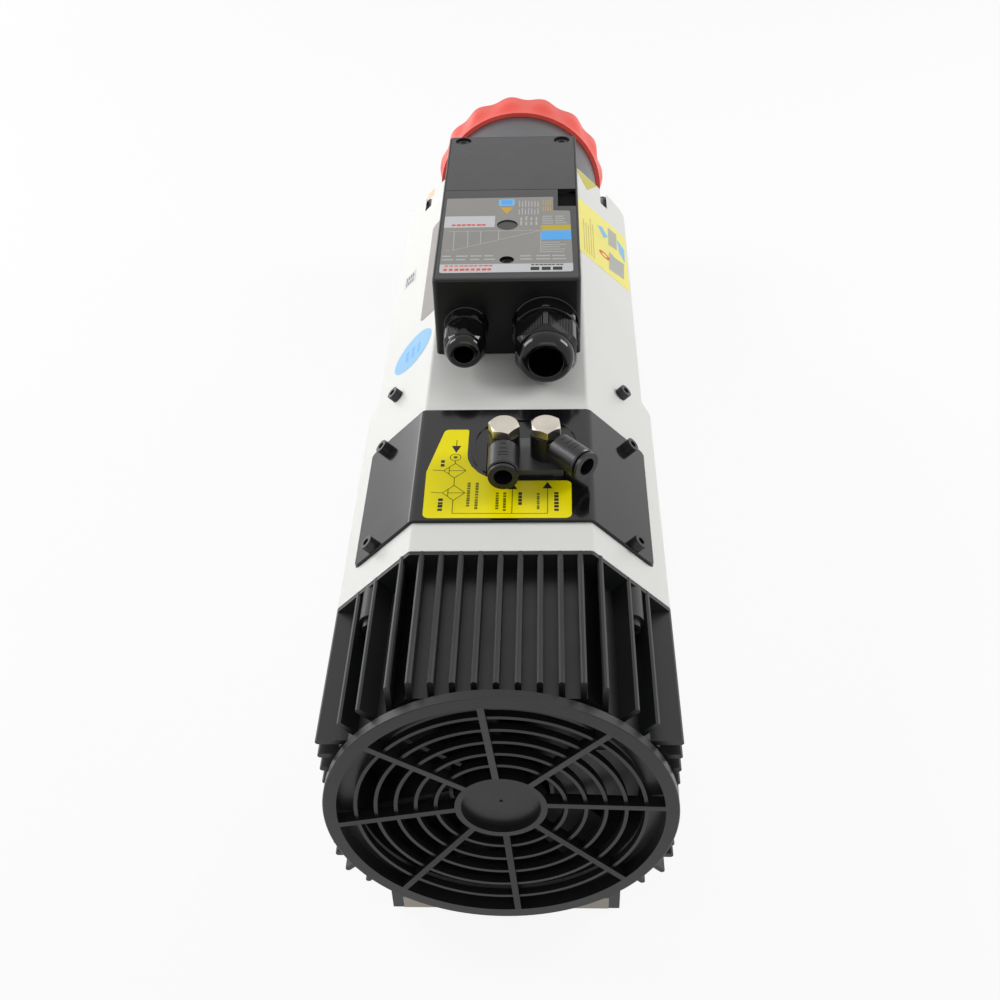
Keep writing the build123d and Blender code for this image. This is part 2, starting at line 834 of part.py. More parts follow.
# ---------------------------------------------------------------- terminal box
def box_block(start, end, half_width, bottom, top):
    """Plain block given by its stations, half width and heights above the axis."""
    return Pos(0, joint_station + (start + end) / 2, axis_height + (bottom + top) / 2) * Box(
        2 * half_width, end - start, top - bottom
    )


def lid_screw_spots():
    """Lid screw centres: two at the far end and one at the near end."""
    far = box_start + box_length - lid_screw_far_inset
    near = box_start + lid_screw_near_inset
    return [(-lid_screw_x, far), (lid_screw_x, far), (0, near)]


def make_box_base():
    """Open-topped shell on the cover with lid ledge, screw bosses, gland and wire holes."""
    bottom = body_half_width
    top = bottom + box_height
    end = box_start + box_length
    shell = box_block(box_start, end, box_half_width, bottom, top)
    shell = fillet(shell.edges().filter_by(Axis.Z), box_corner_round)
    shell = fillet(shell.faces().sort_by(Axis.Z)[-1].edges(), box_rim_round)
    ledge = top - lid_thickness
    shell -= box_block(
        box_start + lid_inset, end - lid_side_inset, box_half_width - lid_side_inset, ledge, top
    )
    shell -= box_block(
        box_start + box_wall, end - box_wall, box_half_width - box_wall, bottom + box_floor, ledge
    )
    for x, station in lid_screw_spots():
        post = Pos(x, joint_station + station, axis_height + bottom) * extrude(
            Circle(lid_boss_radius), amount=box_height - lid_thickness
        )
        shell += post
        shell -= Pos(x, joint_station + station, axis_height + ledge - lid_screw_length) * extrude(
            Circle(lid_screw_radius), amount=lid_screw_length
        )
    for gland in GLANDS:
        shell -= gland_plane(gland) * extrude(Circle(gland["thread"]), amount=-3 * box_wall)
    wire_spot = Pos(0, joint_station + wire_hole_station, axis_height + bottom)
    shell -= wire_spot * Cylinder(wire_hole_radius, 4 * box_floor)
    return shell


def sink_screws(lid, spots):
    """Cut stepped screw holes down through a lid."""
    top = cover_top + box_height
    for x, station in spots:
        spot = Pos(x, joint_station + station, top)
        lid -= spot * extrude(Circle(lid_screw_sink_radius), amount=-lid_screw_sink)
        lid -= spot * extrude(Circle(lid_screw_radius + screw_clearance), amount=-lid_thickness)
    return lid


def make_lid_near():
    """Label end of the lid, with a tongue under the far lid, a notch and a knock-out."""
    top = body_half_width + box_height
    ledge = top - lid_thickness
    start = box_start + lid_inset + lid_edge_gap
    half = box_half_width - lid_side_inset - lid_edge_gap
    lid = box_block(start, lid_seam, half, ledge, top)
    tongue_top = ledge + lid_tongue_thickness
    lid += box_block(lid_seam, lid_seam + lid_tongue, half - box_wall, ledge, tongue_top)
    notch_x = (lid_notch_x + half) / 2
    notch_station = joint_station + lid_seam - lid_notch_length / 2
    lid -= Pos(notch_x, notch_station, axis_height + top) * Box(
        half - lid_notch_x, lid_notch_length, 2 * lid_notch_depth
    )
    lid = sink_screws(lid, lid_screw_spots()[2:])
    knockout = Pos(0, joint_station + box_start + knockout_inset, axis_height + top)
    lid -= knockout * extrude(Circle(knockout_radius), amount=-knockout_depth)
    return lid


def make_lid_far():
    """Plain end of the lid."""
    top = body_half_width + box_height
    ledge = top - lid_thickness
    half = box_half_width - lid_side_inset - lid_edge_gap
    end = box_start + box_length - lid_side_inset - lid_edge_gap
    start = lid_seam + lid_seam_gap
    lid = box_block(start, end, half, ledge, top)
    rebate_end = start + lid_tongue
    rebate_top = ledge + lid_tongue_thickness + lid_tongue_fit
    lid -= box_block(start, rebate_end, half, ledge, rebate_top)
    return sink_screws(lid, lid_screw_spots()[:2])


def make_lid_screws():
    """Low-head screws sunk in the lids."""
    screws = []
    seat = cover_top + box_height - lid_screw_sink
    for x, station in lid_screw_spots():
        length = lid_screw_length - lid_screw_end_gap
        screw = cap_screw(lid_screw_radius, length, lid_screw_head_radius, lid_screw_head_height)
        screws.append(Pos(x, joint_station + station, seat) * screw)
    return screws


def make_terminal_strip():
    """Terminal strip on the box floor, with one wire way per pair of screws."""
    bottom = body_half_width + box_floor
    start = wire_hole_station + wire_hole_radius + strip_gap
    end = start + strip_width
    strip = box_block(start, end, strip_length / 2, bottom, bottom + strip_height)
    pitch = strip_length / strip_ways
    for index in range(strip_ways):
        x = (index - (strip_ways - 1) / 2) * pitch
        way = Box(strip_way_width, strip_way_length, 2 * strip_way_depth)
        strip -= Pos(x, joint_station + start, axis_height + bottom + strip_height) * way
    return strip


# ---------------------------------------------------------------- cable glands
def gland_plane(gland):
    """Plane on the box's near face, square to it, x right and z out towards the fan."""
    origin = (gland["x"], joint_station + box_start, cover_top + gland_height)
    return Plane(origin=origin, x_dir=(1, 0, 0), z_dir=(0, -1, 0))


def gland_cylinder(gland, start, end, radius):
    """Round bar along a gland's axis, measured outwards from the box face."""
    return gland_plane(gland) * Pos(0, 0, start) * extrude(Circle(radius), amount=end - start)


def gland_hex(gland, start, end, size):
    """Hexagonal bar along a gland's axis with the corners of both ends cut back by a cone."""
    bar = gland_plane(gland) * Pos(0, 0, start) * extrude(hexagon(size), amount=end - start)
    drum = gland_cylinder(gland, start, end, size / sqrt(3))
    return bar & chamfer(drum.edges().filter_by(GeomType.CIRCLE), gland_corner_cut)


def make_gland_body(gland):
    """Flanged body screwed through the box wall."""
    flange_end = gland["flange_thickness"]
    hex_end = flange_end + gland["hex_length"]
    neck_end = hex_end + gland_nut_gap + gland["nut_length"]
    body = gland_cylinder(gland, 0, flange_end, gland["flange"])
    body += gland_hex(gland, flange_end - join, hex_end, gland["hex"])
    body += gland_cylinder(gland, hex_end - join, neck_end, gland["thread"] - gland_neck_step)
    inside = box_wall + gland_thread_reach
    body += gland_cylinder(gland, -inside, join, gland["thread"] - gland_wall_fit)
    return body - gland_cylinder(gland, -inside, neck_end, gland["hole"] + gland_seal_wall)


def make_gland_nut(gland):
    """Hexagonal nut that ends in a smooth dome round the cable hole."""
    start = gland["flange_thickness"] + gland["hex_length"] + gland_nut_gap
    skirt_end = start + gland["nut_length"]
    dome_end = skirt_end + gland["dome_length"]
    nut = gland_hex(gland, start, skirt_end, gland["hex"])
    dome = gland_cylinder(gland, skirt_end - join, dome_end, gland["dome_radius"])
    dome = fillet(dome.edges().group_by(Axis.Y)[0], gland_dome_share * gland["dome_length"])
    nut += dome
    nut -= gland_cylinder(gland, start, skirt_end, gland["thread"] - gland_neck_step)
    return nut - gland_cylinder(gland, skirt_end, dome_end, gland["hole"])


def make_gland_seal(gland):
    """Rubber sleeve that grips the cable inside the gland."""
    hex_end = gland["flange_thickness"] + gland["hex_length"]
    start = hex_end + gland_seal_end_gap
    end = hex_end + gland_nut_gap + gland["nut_length"]
    outer = gland_cylinder(gland, start, end, gland["hole"] + gland_seal_wall)
    return outer - gland_cylinder(gland, start, end, gland["hole"] + gland_seal_slack)


# ---------------------------------------------------------------- fan unit
def spoke_front(radius):
    """Station of the spokes' front at this radius, from the ring's face back to the hub's."""
    return fan_face + grille_dish * (fan_ring_inner_radius - radius) / (fan_ring_inner_radius - hub_radius)


def make_spokes():
    """Spokes from the hub to the ring, with their fronts on a shallow cone."""
    root = hub_radius - 2 * join
    reach = fan_ring_inner_radius + join
    spoke = Pos((root + reach) / 2, 0) * Rectangle(reach - root, spoke_width)
    step = 360 / spoke_count
    spokes = [Rot(0, 0, spoke_turn + index * step) * spoke for index in range(spoke_count)]
    cone = turned(
        (spoke_front(hub_radius), root),
        (spoke_front(hub_radius), hub_radius),
        (fan_face, fan_ring_inner_radius),
        (fan_face, reach),
        (fan_face + spoke_depth, reach),
        (fan_face + spoke_depth, fan_ring_inner_radius),
        (spoke_front(hub_radius) + spoke_depth, hub_radius),
        (spoke_front(hub_radius) + spoke_depth, root),
    )
    return along(Sketch() + spokes, fan_face, rear_end + fan_tube_depth) & cone


def make_fan_frame():
    """Moulded ring with neck, tube, dished grille and the hub that holds the motor."""
    back = fan_face + fan_ring_thickness
    pan = rear_end - fan_pan_thickness
    tube_end = rear_end + fan_tube_depth
    inner = fan_tube_radius - fan_tube_wall
    frame = turned(
        (fan_face, fan_ring_inner_radius),
        (fan_face, fan_ring_radius),
        (back, fan_ring_radius),
        (back, fan_neck_radius),
        (rear_end, fan_neck_radius),
        (rear_end, fan_tube_radius),
        (tube_end, fan_tube_radius),
        (tube_end, inner),
        (pan, inner),
        (pan, fan_ring_inner_radius),
    )
    rim = frame.edges().filter_by(GeomType.CIRCLE).group_by(SortBy.RADIUS)[-1]
    frame = chamfer(rim, fan_ring_chamfer)
    frame += make_spokes()
    for index in range(grille_ring_count):
        radius = grille_ring_first + index * grille_ring_pitch
        start = spoke_front(radius) + grille_setback
        half = grille_ring_width / 2
        frame += tube(start, start + grille_depth, radius + half, radius - half)
    hub_face = spoke_front(hub_radius)
    hub = rod(hub_face, hub_face + hub_thickness, hub_radius)
    recess_end = hub_face + hub_recess_depth
    hub -= rod(hub_face, recess_end, hub_recess_radius)
    return frame + hub + rod(recess_end - hub_nub_height, recess_end, hub_nub_radius)


def fan_hub_back():
    """Station of the hub's front side, where the fan motor stands."""
    return spoke_front(hub_radius) + hub_thickness


def make_fan_motor():
    """Fan motor core on the hub, bored for the impeller's pin."""
    start = fan_hub_back()
    core_start = start + fan_motor_base_thickness
    core_end = core_start + fan_motor_length
    motor = rod(start, core_start, fan_motor_base_radius)
    motor += rod(core_start, core_end, fan_motor_radius)
    bore_start = core_end - fan_pin_length - fan_pin_end_gap
    return motor - rod(bore_start, core_end, fan_pin_radius + fan_pin_clearance)


def impeller_blade(start, end):
    """One twisted blade between two stations, lofted from hub to past its tip."""
    sections = []
    middle = (start + end) / 2
    stations = (
        (impeller_hub_radius - blade_embed, blade_root_chord, blade_root_angle),
        (fan_tube_radius, blade_tip_chord, blade_tip_angle),
    )
    for radius, chord, angle in stations:
        plane = Plane(
            origin=(radius, middle, axis_height),
            x_dir=(0, sin(radians(angle)), cos(radians(angle))),
            z_dir=(1, 0, 0),
        )
        sections.append(plane * Rectangle(chord, blade_thickness))
    return loft(Sketch() + sections, ruled=True)


def make_fan_impeller():
    """Cup over the fan motor with its pin and twisted blades."""
    core_end = fan_hub_back() + fan_motor_base_thickness + fan_motor_length
    wall_start = core_end + impeller_end_gap
    wall_end = wall_start + impeller_hub_wall
    start = fan_hub_back() + fan_motor_base_thickness + impeller_gap
    cup = tube(start, wall_end, impeller_hub_radius, impeller_hub_radius - impeller_hub_wall)
    cup += rod(wall_start, wall_end, impeller_hub_radius)
    cup += rod(core_end - fan_pin_length, wall_start, fan_pin_radius)
    tip = fan_tube_radius - fan_tube_wall - impeller_tip_clearance
    blade = impeller_blade(start, wall_end) & rod(start, wall_end, tip)
    centre = Location((0, 0, axis_height))
    for index in range(blade_count):
        turn = centre * Rot(0, 360 * index / blade_count, 0) * centre.inverse()
        cup += turn * blade
    return cup


# ---------------------------------------------------------------- release cylinder
def cylinder_start():
    """Station of the release cylinder's rear end, on the bulkhead."""
    return joint_station - cylinder_pocket_depth


def make_cylinder_cap():
    """Disc that closes the release cylinder at the bulkhead."""
    start = cylinder_start()
    return rod(start, start + cylinder_cap_thickness, cylinder_pocket_radius - cylinder_fit)


def make_release_cylinder():
    """Cylinder tube with the front wall that guides the piston rod."""
    start = cylinder_start() + cylinder_cap_thickness
    end = joint_station - cylinder_front_gap
    outer = cylinder_pocket_radius - cylinder_fit
    return turned(
        (start, cylinder_bore_radius),
        (start, outer),
        (end, outer),
        (end, piston_rod_radius + piston_clearance),
        (end - cylinder_front_wall, piston_rod_radius + piston_clearance),
        (end - cylinder_front_wall, cylinder_bore_radius),
    )


def piston_start():
    """Station of the piston's rear face with the tool held."""
    return cylinder_start() + cylinder_cap_thickness + piston_rear_gap


def drawbar_start():
    """Station of the drawbar's rear end with the tool held."""
    return joint_station - cylinder_front_gap + piston_rod_overhang + drawbar_gap


def make_release_piston():
    """Piston with its rod, grooved for the seal."""
    start = piston_start()
    end = start + piston_thickness
    radius = cylinder_bore_radius - piston_clearance
    piston = rod(start, end, radius)
    piston += rod(end, drawbar_start() - drawbar_gap, piston_rod_radius)
    middle = (start + end) / 2
    half = seal_width / 2 + seal_fit
    return piston - tube(middle - half, middle + half, radius, radius - seal_depth - seal_fit)


def make_piston_seal():
    """Seal ring in the piston's groove."""
    middle = piston_start() + piston_thickness / 2
    radius = cylinder_bore_radius - piston_clearance
    return tube(middle - seal_width / 2, middle + seal_width / 2, radius, radius - seal_depth)


# ---------------------------------------------------------------- bearings
def bearing_station(row):
    """Rear face of a front bearing row."""
    first = nose_face - front_bearing_setback - front_bearing_rows * front_bearing_width
    return first + row * front_bearing_width


def ring_set(start, width, seat, inner_wall, outer, outer_wall):
    """Inner ring, outer ring and ball row of one bearing."""
    inner_ring = tube(start, start + width, seat + inner_wall, seat)
    outer_ring = tube(start, start + width, outer, outer - outer_wall)
    row_start = start + ball_row_relief
    row_end = start + width - ball_row_relief
    row_outer = outer - outer_wall - bearing_gap
    ball_row = tube(row_start, row_end, row_outer, seat + inner_wall + bearing_gap)
    return inner_ring, outer_ring, ball_row


def rear_bearing():
    """Rings and ball row of the rear bearing."""
    return ring_set(
        joint_station + rear_bearing_station,
        rear_bearing_width,
        rear_seat_radius,
        rear_inner_ring_wall,
        rear_outer_radius,
        rear_outer_ring_wall,
    )


def front_bearing(row):
    """Rings and ball row of one front bearing."""
    return ring_set(
        bearing_station(row),
        front_bearing_width,
        front_seat_radius,
        front_inner_ring_wall,
        front_outer_radius,
        front_outer_ring_wall,
    )


def make_bearing_carrier():
    """Disc across the motor housing that carries the rear bearing."""
    start = joint_station + carrier_start
    end = joint_station + carrier_end
    bearing_end = joint_station + rear_bearing_station + rear_bearing_width
    shoulder_station = bearing_end + spring_seat_gap
    seat_outer = rear_outer_radius + carrier_wall
    return turned(
        (start, rear_outer_radius),
        (start, seat_outer),
        (end - carrier_web, seat_outer),
        (end - carrier_web, motor_bore_radius - register_fit),
        (end, motor_bore_radius - register_fit),
        (end, rear_outer_radius - rear_outer_ring_wall),
        (shoulder_station, rear_outer_radius - rear_outer_ring_wall),
        (shoulder_station, rear_outer_radius),
    )


def make_wave_spring():
    """Ring that preloads the rear bearing's outer ring."""
    start = joint_station + rear_bearing_station + rear_bearing_width + wave_spring_gap
    outer = rear_outer_radius - wave_spring_side_gap
    inner = rear_outer_radius - rear_outer_ring_wall + wave_spring_side_gap
    return tube(start, start + wave_spring_thickness, outer, inner)


def make_rear_lock_nut():
    """Nut that holds the rear bearing's inner ring."""
    end = joint_station + rear_bearing_station
    return tube(end - lock_nut_length, end, rear_lock_nut_radius, rear_seat_radius)


def make_front_lock_nut():
    """Nut that holds the front bearings' inner rings."""
    end = bearing_station(0)
    return tube(end - lock_nut_length, end, front_lock_nut_radius, shaft_radius)


# ---------------------------------------------------------------- motor
def make_stator_core():
    """Laminated stack in the motor housing."""
    start = joint_station + stator_start
    return tube(start, start + stator_length, motor_bore_radius - register_fit, stator_bore_radius)


def make_windings():
    """End windings at both ends of the stator core."""
    start = joint_station + stator_start
    end = start + stator_length
    rear = tube(start - winding_length, start, winding_outer_radius, winding_inner_radius)
    front = tube(end, end + winding_length, winding_outer_radius, winding_inner_radius)
    return [rear, front]


def make_rotor_core():
    """Rotor stack on the shaft."""
    start = joint_station + stator_start
    return tube(start, start + stator_length, stator_bore_radius - air_gap, shaft_radius)


def make_rotor_rings():
    """Short-circuit rings at both ends of the rotor core."""
    start = joint_station + stator_start
    end = start + stator_length
    rear = tube(start - rotor_ring_length, start, rotor_ring_outer_radius, rotor_ring_inner_radius)
    front = tube(end, end + rotor_ring_length, rotor_ring_outer_radius, rotor_ring_inner_radius)
    return [rear, front]


def make_speed_wheel():
    """Toothed wheel read by the speed sensor."""
    start = joint_station + speed_wheel_station
    wheel = tube(start, start + speed_wheel_width, speed_wheel_radius, rear_journal_radius)
    tooth_gap = Pos(speed_wheel_radius, 0) * Rectangle(2 * speed_tooth_depth, 2 * speed_tooth_depth)
    step = 360 / speed_wheel_teeth
    gaps = [Rot(0, 0, index * step) * tooth_gap for index in range(speed_wheel_teeth)]
    return wheel - along(Sketch() + gaps, start, start + speed_wheel_width)


def make_speed_sensor():
    """Sensor that reaches in from the motor housing to the speed wheel."""
    station = joint_station + speed_wheel_station + speed_wheel_width / 2
    start = speed_wheel_radius + sensor_gap
    plane = Plane(origin=(0, station, axis_height + start), x_dir=(1, 0, 0), z_dir=(0, 0, 1))
    reach = sqrt(motor_bore_radius**2 - sensor_radius**2) - start
    return plane * extrude(Circle(sensor_radius), amount=reach)


# ---------------------------------------------------------------- nose
def corner_screw_places():
    """Axes of the nose flange's four corner screws, across the axis, local x outwards."""
    reach = (corner_screw_x + corner_screw_z) / root_two
    shift = (corner_screw_x - corner_screw_z) / root_two
    turns = ((45, -shift), (135, shift), (-45, shift), (-135, -shift))
    return [Rot(0, 0, facing) * Pos(reach, side) for facing, side in turns]


def make_nose_housing():
    """Front bearing housing: spigot in the motor housing, octagonal flange and long nose."""
    bearing_start = bearing_station(0)
    inset = sheet_thickness + nose_flange_fit
    narrowed = Rectangle(2 * (cover_front_half_width - inset), 2 * body_half_width)
    body = along(bent_outline(inset) & narrowed, motor_front, nose_root)
    body += rod(motor_front - nose_spigot_length, nose_face, motor_bore_radius - register_fit)
    body -= tube(nose_root, nose_face, body_half_width, nose_radius)
    cavity_end = bearing_start - front_shoulder_length
    body -= rod(motor_front - nose_spigot_length, cavity_end, nose_cavity_radius)
    body -= rod(cavity_end, bearing_start, front_shoulder_radius)
    body -= rod(bearing_start, nose_face, front_outer_radius)
    corner_holes = [
        place * Circle(joint_bolt_radius + screw_clearance) for place in corner_screw_places()
    ]
    body -= along(Sketch() + corner_holes, motor_front, nose_root)
    cover_holes = [place * Circle(nose_screw_radius) for place in front_screw_places()]
    return body - along(Sketch() + cover_holes, nose_face - joint_bolt_thread, nose_face)


def make_nose_screws():
    """Cap screws in the corners of the nose flange, into the motor housing."""
    screws = []
    for place in corner_screw_places():
        spot = (across(nose_root) * place).position
        seat = Plane(origin=spot, x_dir=(1, 0, 0), z_dir=(0, 1, 0))
        screws.append(seat * cap_screw(joint_bolt_radius, nose_flange_thickness + joint_bolt_thread))
    return screws


def front_screw_places():
    """Axes of the front cover's screws, on a plane across the axis."""
    step = 360 / nose_screw_count
    return [Rot(0, 0, index * step) * Pos(nose_screw_circle, 0) for index in range(nose_screw_count)]


def make_front_cover():
    """Cover that clamps the front outer rings and runs close round the shaft collar."""
    bearing_end = nose_face - front_bearing_setback
    step = nose_face - collar_setback + labyrinth_gap
    body = turned(
        (bearing_end, collar_radius + labyrinth_gap),
        (bearing_end, front_outer_radius - register_fit),
        (nose_face, front_outer_radius - register_fit),
        (nose_face, front_cover_radius),
        (nose_face + front_cover_thickness, front_cover_radius),
        (nose_face + front_cover_thickness, shaft_nose_radius + labyrinth_gap),
        (step, shaft_nose_radius + labyrinth_gap),
        (step, collar_radius + labyrinth_gap),
    )
    holes = [place * Circle(nose_screw_radius + screw_clearance) for place in front_screw_places()]
    return body - along(Sketch() + holes, nose_face, nose_face + front_cover_thickness)


def make_front_cover_screws():
    """Low-head screws of the front cover."""
    screws = []
    for place in front_screw_places():
        spot = (across(nose_face + front_cover_thickness) * place).position
        seat = Plane(origin=spot, x_dir=(1, 0, 0), z_dir=(0, 1, 0))
        length = front_cover_thickness + joint_bolt_thread
        screws.append(seat * cap_screw(nose_screw_radius, length, head_height=nose_screw_head_height))
    return screws


# ---------------------------------------------------------------- shaft and tool clamp
def taper_end():
    """Station where the taper bore meets the gripper room."""
    return spindle_face - taper_depth


def guide_start():
    """Station where the spring room ends and the drawbar's front guide starts."""
    return taper_end() - gripper_room - guide_length


def make_shaft():
    """Hollow spindle shaft with the taper bore, drive slots and drawbar rooms."""
    tail = joint_station + shaft_tail_station
    rear_seat_end = joint_station + rear_bearing_station + rear_bearing_width
    rear_seat_start = joint_station + rear_bearing_station - lock_nut_length
    front_seat_end = nose_face - front_bearing_setback
    body = turned(
        (tail, 0),
        (tail, rear_journal_radius),
        (rear_seat_start, rear_journal_radius),
        (rear_seat_start, rear_seat_radius),
        (rear_seat_end, rear_seat_radius),
        (rear_seat_end, shaft_radius),
        (bearing_station(0), shaft_radius),
        (bearing_station(0), front_seat_radius),
        (front_seat_end, front_seat_radius),
        (front_seat_end, collar_radius),
        (nose_face - collar_setback, collar_radius),
        (nose_face - collar_setback, shaft_nose_radius),
        (spindle_face, shaft_nose_radius),
        (spindle_face, 0),
    )
    small_radius = gauge_radius - taper_depth * taper_ratio / 2
    body -= turned(
        (spindle_face, 0),
        (spindle_face, gauge_radius),
        (taper_end(), small_radius),
        (taper_end(), 0),
    )
    body -= rod(taper_end() - gripper_room, taper_end(), gripper_room_radius)
    body -= rod(guide_start(), taper_end() - gripper_room, guide_radius)
    body -= rod(tail, guide_start(), spring_room_radius)
    slots = Rectangle(drive_key_width, 2 * shaft_nose_radius) - Rectangle(
        drive_key_width, 2 * drive_key_inner
    )
    return body - along(slots, spindle_face - drive_slot_depth, spindle_face)


def make_drive_keys():
    """Two keys in the shaft's face that turn the tool holder."""
    key = Pos(0, (drive_key_inner + drive_key_outer) / 2) * Rectangle(
        drive_key_width, drive_key_outer - drive_key_inner
    )
    start = spindle_face - drive_slot_depth
    end = spindle_face + drive_key_height
    return [along(key, start, end), along(mirror(key, about=Plane.XZ), start, end)]


def spring_rear():
    """Station of the drawbar collar's front face, where the springs push."""
    return guide_start() - spring_stack_length


def make_drawbar():
    """Bar through the shaft: pushed head, spring collar, front guide and gripper tip."""
    collar_start = spring_rear() - drawbar_collar_length
    tip_start = taper_end() - gripper_room + gripper_gap
    tip_end = tip_start + drawbar_tip_length
    guide_fit = guide_radius - drawbar_running_fit
    return turned(
        (drawbar_start(), 0),
        (drawbar_start(), drawbar_head_radius),
        (drawbar_start() + drawbar_head_length, drawbar_head_radius),
        (drawbar_start() + drawbar_head_length, drawbar_radius),
        (collar_start, drawbar_radius),
        (collar_start, drawbar_collar_radius),
        (spring_rear(), drawbar_collar_radius),
        (spring_rear(), drawbar_radius),
        (guide_start(), drawbar_radius),
        (guide_start(), guide_fit),
        (tip_start, guide_fit),
        (tip_start, gripper_bore_radius),
        (tip_end, gripper_bore_radius),
        (tip_end, 0),
    )


def make_disc_springs():
    """Disc spring packs that pull the drawbar to the rear, alternately coned."""
    packs = []
    count = round(spring_stack_length / spring_pitch)
    pitch = spring_stack_length / count
    plate = pitch - spring_cone
    for index in range(count):
        start = spring_rear() + index * pitch
        inner_start = start + (spring_cone if index % 2 else 0)
        outer_start = start + (0 if index % 2 else spring_cone)
        packs.append(
            turned(
                (inner_start, spring_inner_radius),
                (outer_start, spring_outer_radius),
                (outer_start + plate, spring_outer_radius),
                (inner_start + plate, spring_inner_radius),
            )
        )
    return packs


def make_drawbar_bush():
    """Bush in the shaft's tail that guides the drawbar."""
    start = joint_station + shaft_tail_station + bush_setback
    return tube(start, start + bush_length, spring_room_radius, drawbar_radius + drawbar_running_fit)


def make_gripper():
    """Slotted collet on the drawbar's tip that holds the tool holder's stud."""
    start = taper_end() - gripper_room + gripper_gap
    end = start + gripper_length
    collet = tube(start, end, gripper_radius, gripper_bore_radius)
    slots = Rectangle(gripper_slot_width, 3 * gripper_radius)
    slots += Rot(0, 0, 90) * Rectangle(gripper_slot_width, 3 * gripper_radius)
    return collet - along(slots, end - gripper_slot_depth, end)


# ---------------------------------------------------------------- nose cap
def make_nose_cap():
    """Soft protective cap over the nose, plain at its rim and lobed for the fingers in front."""
    start = nose_face - nose_cap_overlap
    inside_end = spindle_face + drive_key_height + nose_cap_front_gap
    end = inside_end + nose_cap_wall
    lobe_circle = nose_cap_radius + nose_cap_lobe_height - nose_cap_lobe_radius
    step = 360 / nose_cap_lobes
    first = 90 - nose_cap_lobe_turn
    lobe = Pos(lobe_circle, 0) * Circle(nose_cap_lobe_radius)
    lobes = [Rot(0, 0, first + index * step) * lobe for index in range(nose_cap_lobes)]
    tip = nose_cap_radius + nose_cap_lobe_height
    envelope = turned(
        (start, 0),
        (start, nose_cap_radius),
        (start + nose_cap_lobe_start, nose_cap_radius),
        (start + nose_cap_lobe_full, tip),
        (end - nose_cap_edge, tip),
        (end, tip - nose_cap_edge_slope * nose_cap_edge),
        (end, 0),
    )
    outline = Circle(nose_cap_radius) + lobes
    valleys = outline.vertices().group_by(lambda v: round(v.center().length, 1))[0]
    cap = along(fillet(valleys, nose_cap_valley_radius), start, end) & envelope
    return cap - rod(start, inside_end, nose_radius + nose_cap_fit)


# ---------------------------------------------------------------- all nodes
def main():
    """Build every node and write it to parts/."""
    os.makedirs("parts", exist_ok=True)
    save("rear_housing", make_rear_housing())
    save("joint_bolts", *make_joint_bolts())
    save("motor_housing", make_motor_housing())
    save("base_plate", make_base_plate())
    save("cover", make_cover())
    save("cover_screws", *make_cover_screws())
    save("inlet_plate", make_inlet_plate())
    save("plate_screws", *make_plate_screws())
    save("inlet_block", make_inlet_block())
    save("banjo_bolts", *make_banjo_bolts())
    left, right = elbow_spots()
    save("left_elbow", left * elbow())
    save("left_release_collar", left * release_collar())
    save("right_elbow", right * Rot(0, 0, right_elbow_turn) * elbow())
    save("right_release_collar", right * Rot(0, 0, right_elbow_turn) * release_collar())
    save("box_base", make_box_base())
    save("lid_near", make_lid_near())
    save("lid_far", make_lid_far())
    save("lid_screws", *make_lid_screws())
    save("terminal_strip", make_terminal_strip())
    save("small_gland_body", make_gland_body(SMALL_GLAND))
    save("large_gland_body", make_gland_body(LARGE_GLAND))
    save("small_gland_nut", make_gland_nut(SMALL_GLAND))
    save("large_gland_nut", make_gland_nut(LARGE_GLAND))
    save("gland_seals", *[make_gland_seal(gland) for gland in GLANDS])
    save("fan_frame", make_fan_frame())
    save("fan_motor", make_fan_motor())
    save("fan_impeller", make_fan_impeller())
    save("cylinder_cap", make_cylinder_cap())
    save("release_cylinder", make_release_cylinder())
    save("release_piston", make_release_piston())
    save("piston_seal", make_piston_seal())
    save("bearing_carrier", make_bearing_carrier())
    inner_ring, outer_ring, ball_row = rear_bearing()
    save("rear_bearing_inner_ring", inner_ring)
    save("rear_bearing_outer_ring", outer_ring)
    save("rear_ball_row", ball_row)
    save("wave_spring", make_wave_spring())
    save("rear_lock_nut", make_rear_lock_nut())
    save("stator_core", make_stator_core())
    save("windings", *make_windings())
    save("rotor_core", make_rotor_core())
    save("rotor_rings", *make_rotor_rings())
    save("speed_wheel", make_speed_wheel())
    save("speed_sensor", make_speed_sensor())
    save("shaft", make_shaft())
    rows = [front_bearing(row) for row in range(front_bearing_rows)]
    save("front_bearing_inner_rings", *[row[0] for row in rows])
    save("front_bearing_outer_rings", *[row[1] for row in rows])
    save("front_ball_rows", *[row[2] for row in rows])
    save("front_lock_nut", make_front_lock_nut())
    save("nose_housing", make_nose_housing())
    save("nose_corner_screws", *make_nose_screws())
    save("front_cover", make_front_cover())
    save("front_cover_screws", *make_front_cover_screws())
    save("drive_keys", *make_drive_keys())
    save("drawbar", make_drawbar())
    save("disc_springs", *make_disc_springs())
    save("drawbar_bush", make_drawbar_bush())
    save("gripper", make_gripper())
    save("nose_cap", make_nose_cap())


main()
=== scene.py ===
import json
from math import acos, atan2, cos, hypot, pi, radians, sin, sqrt, tan
from random import Random

import bmesh
import bpy
from mathutils import Matrix, Vector


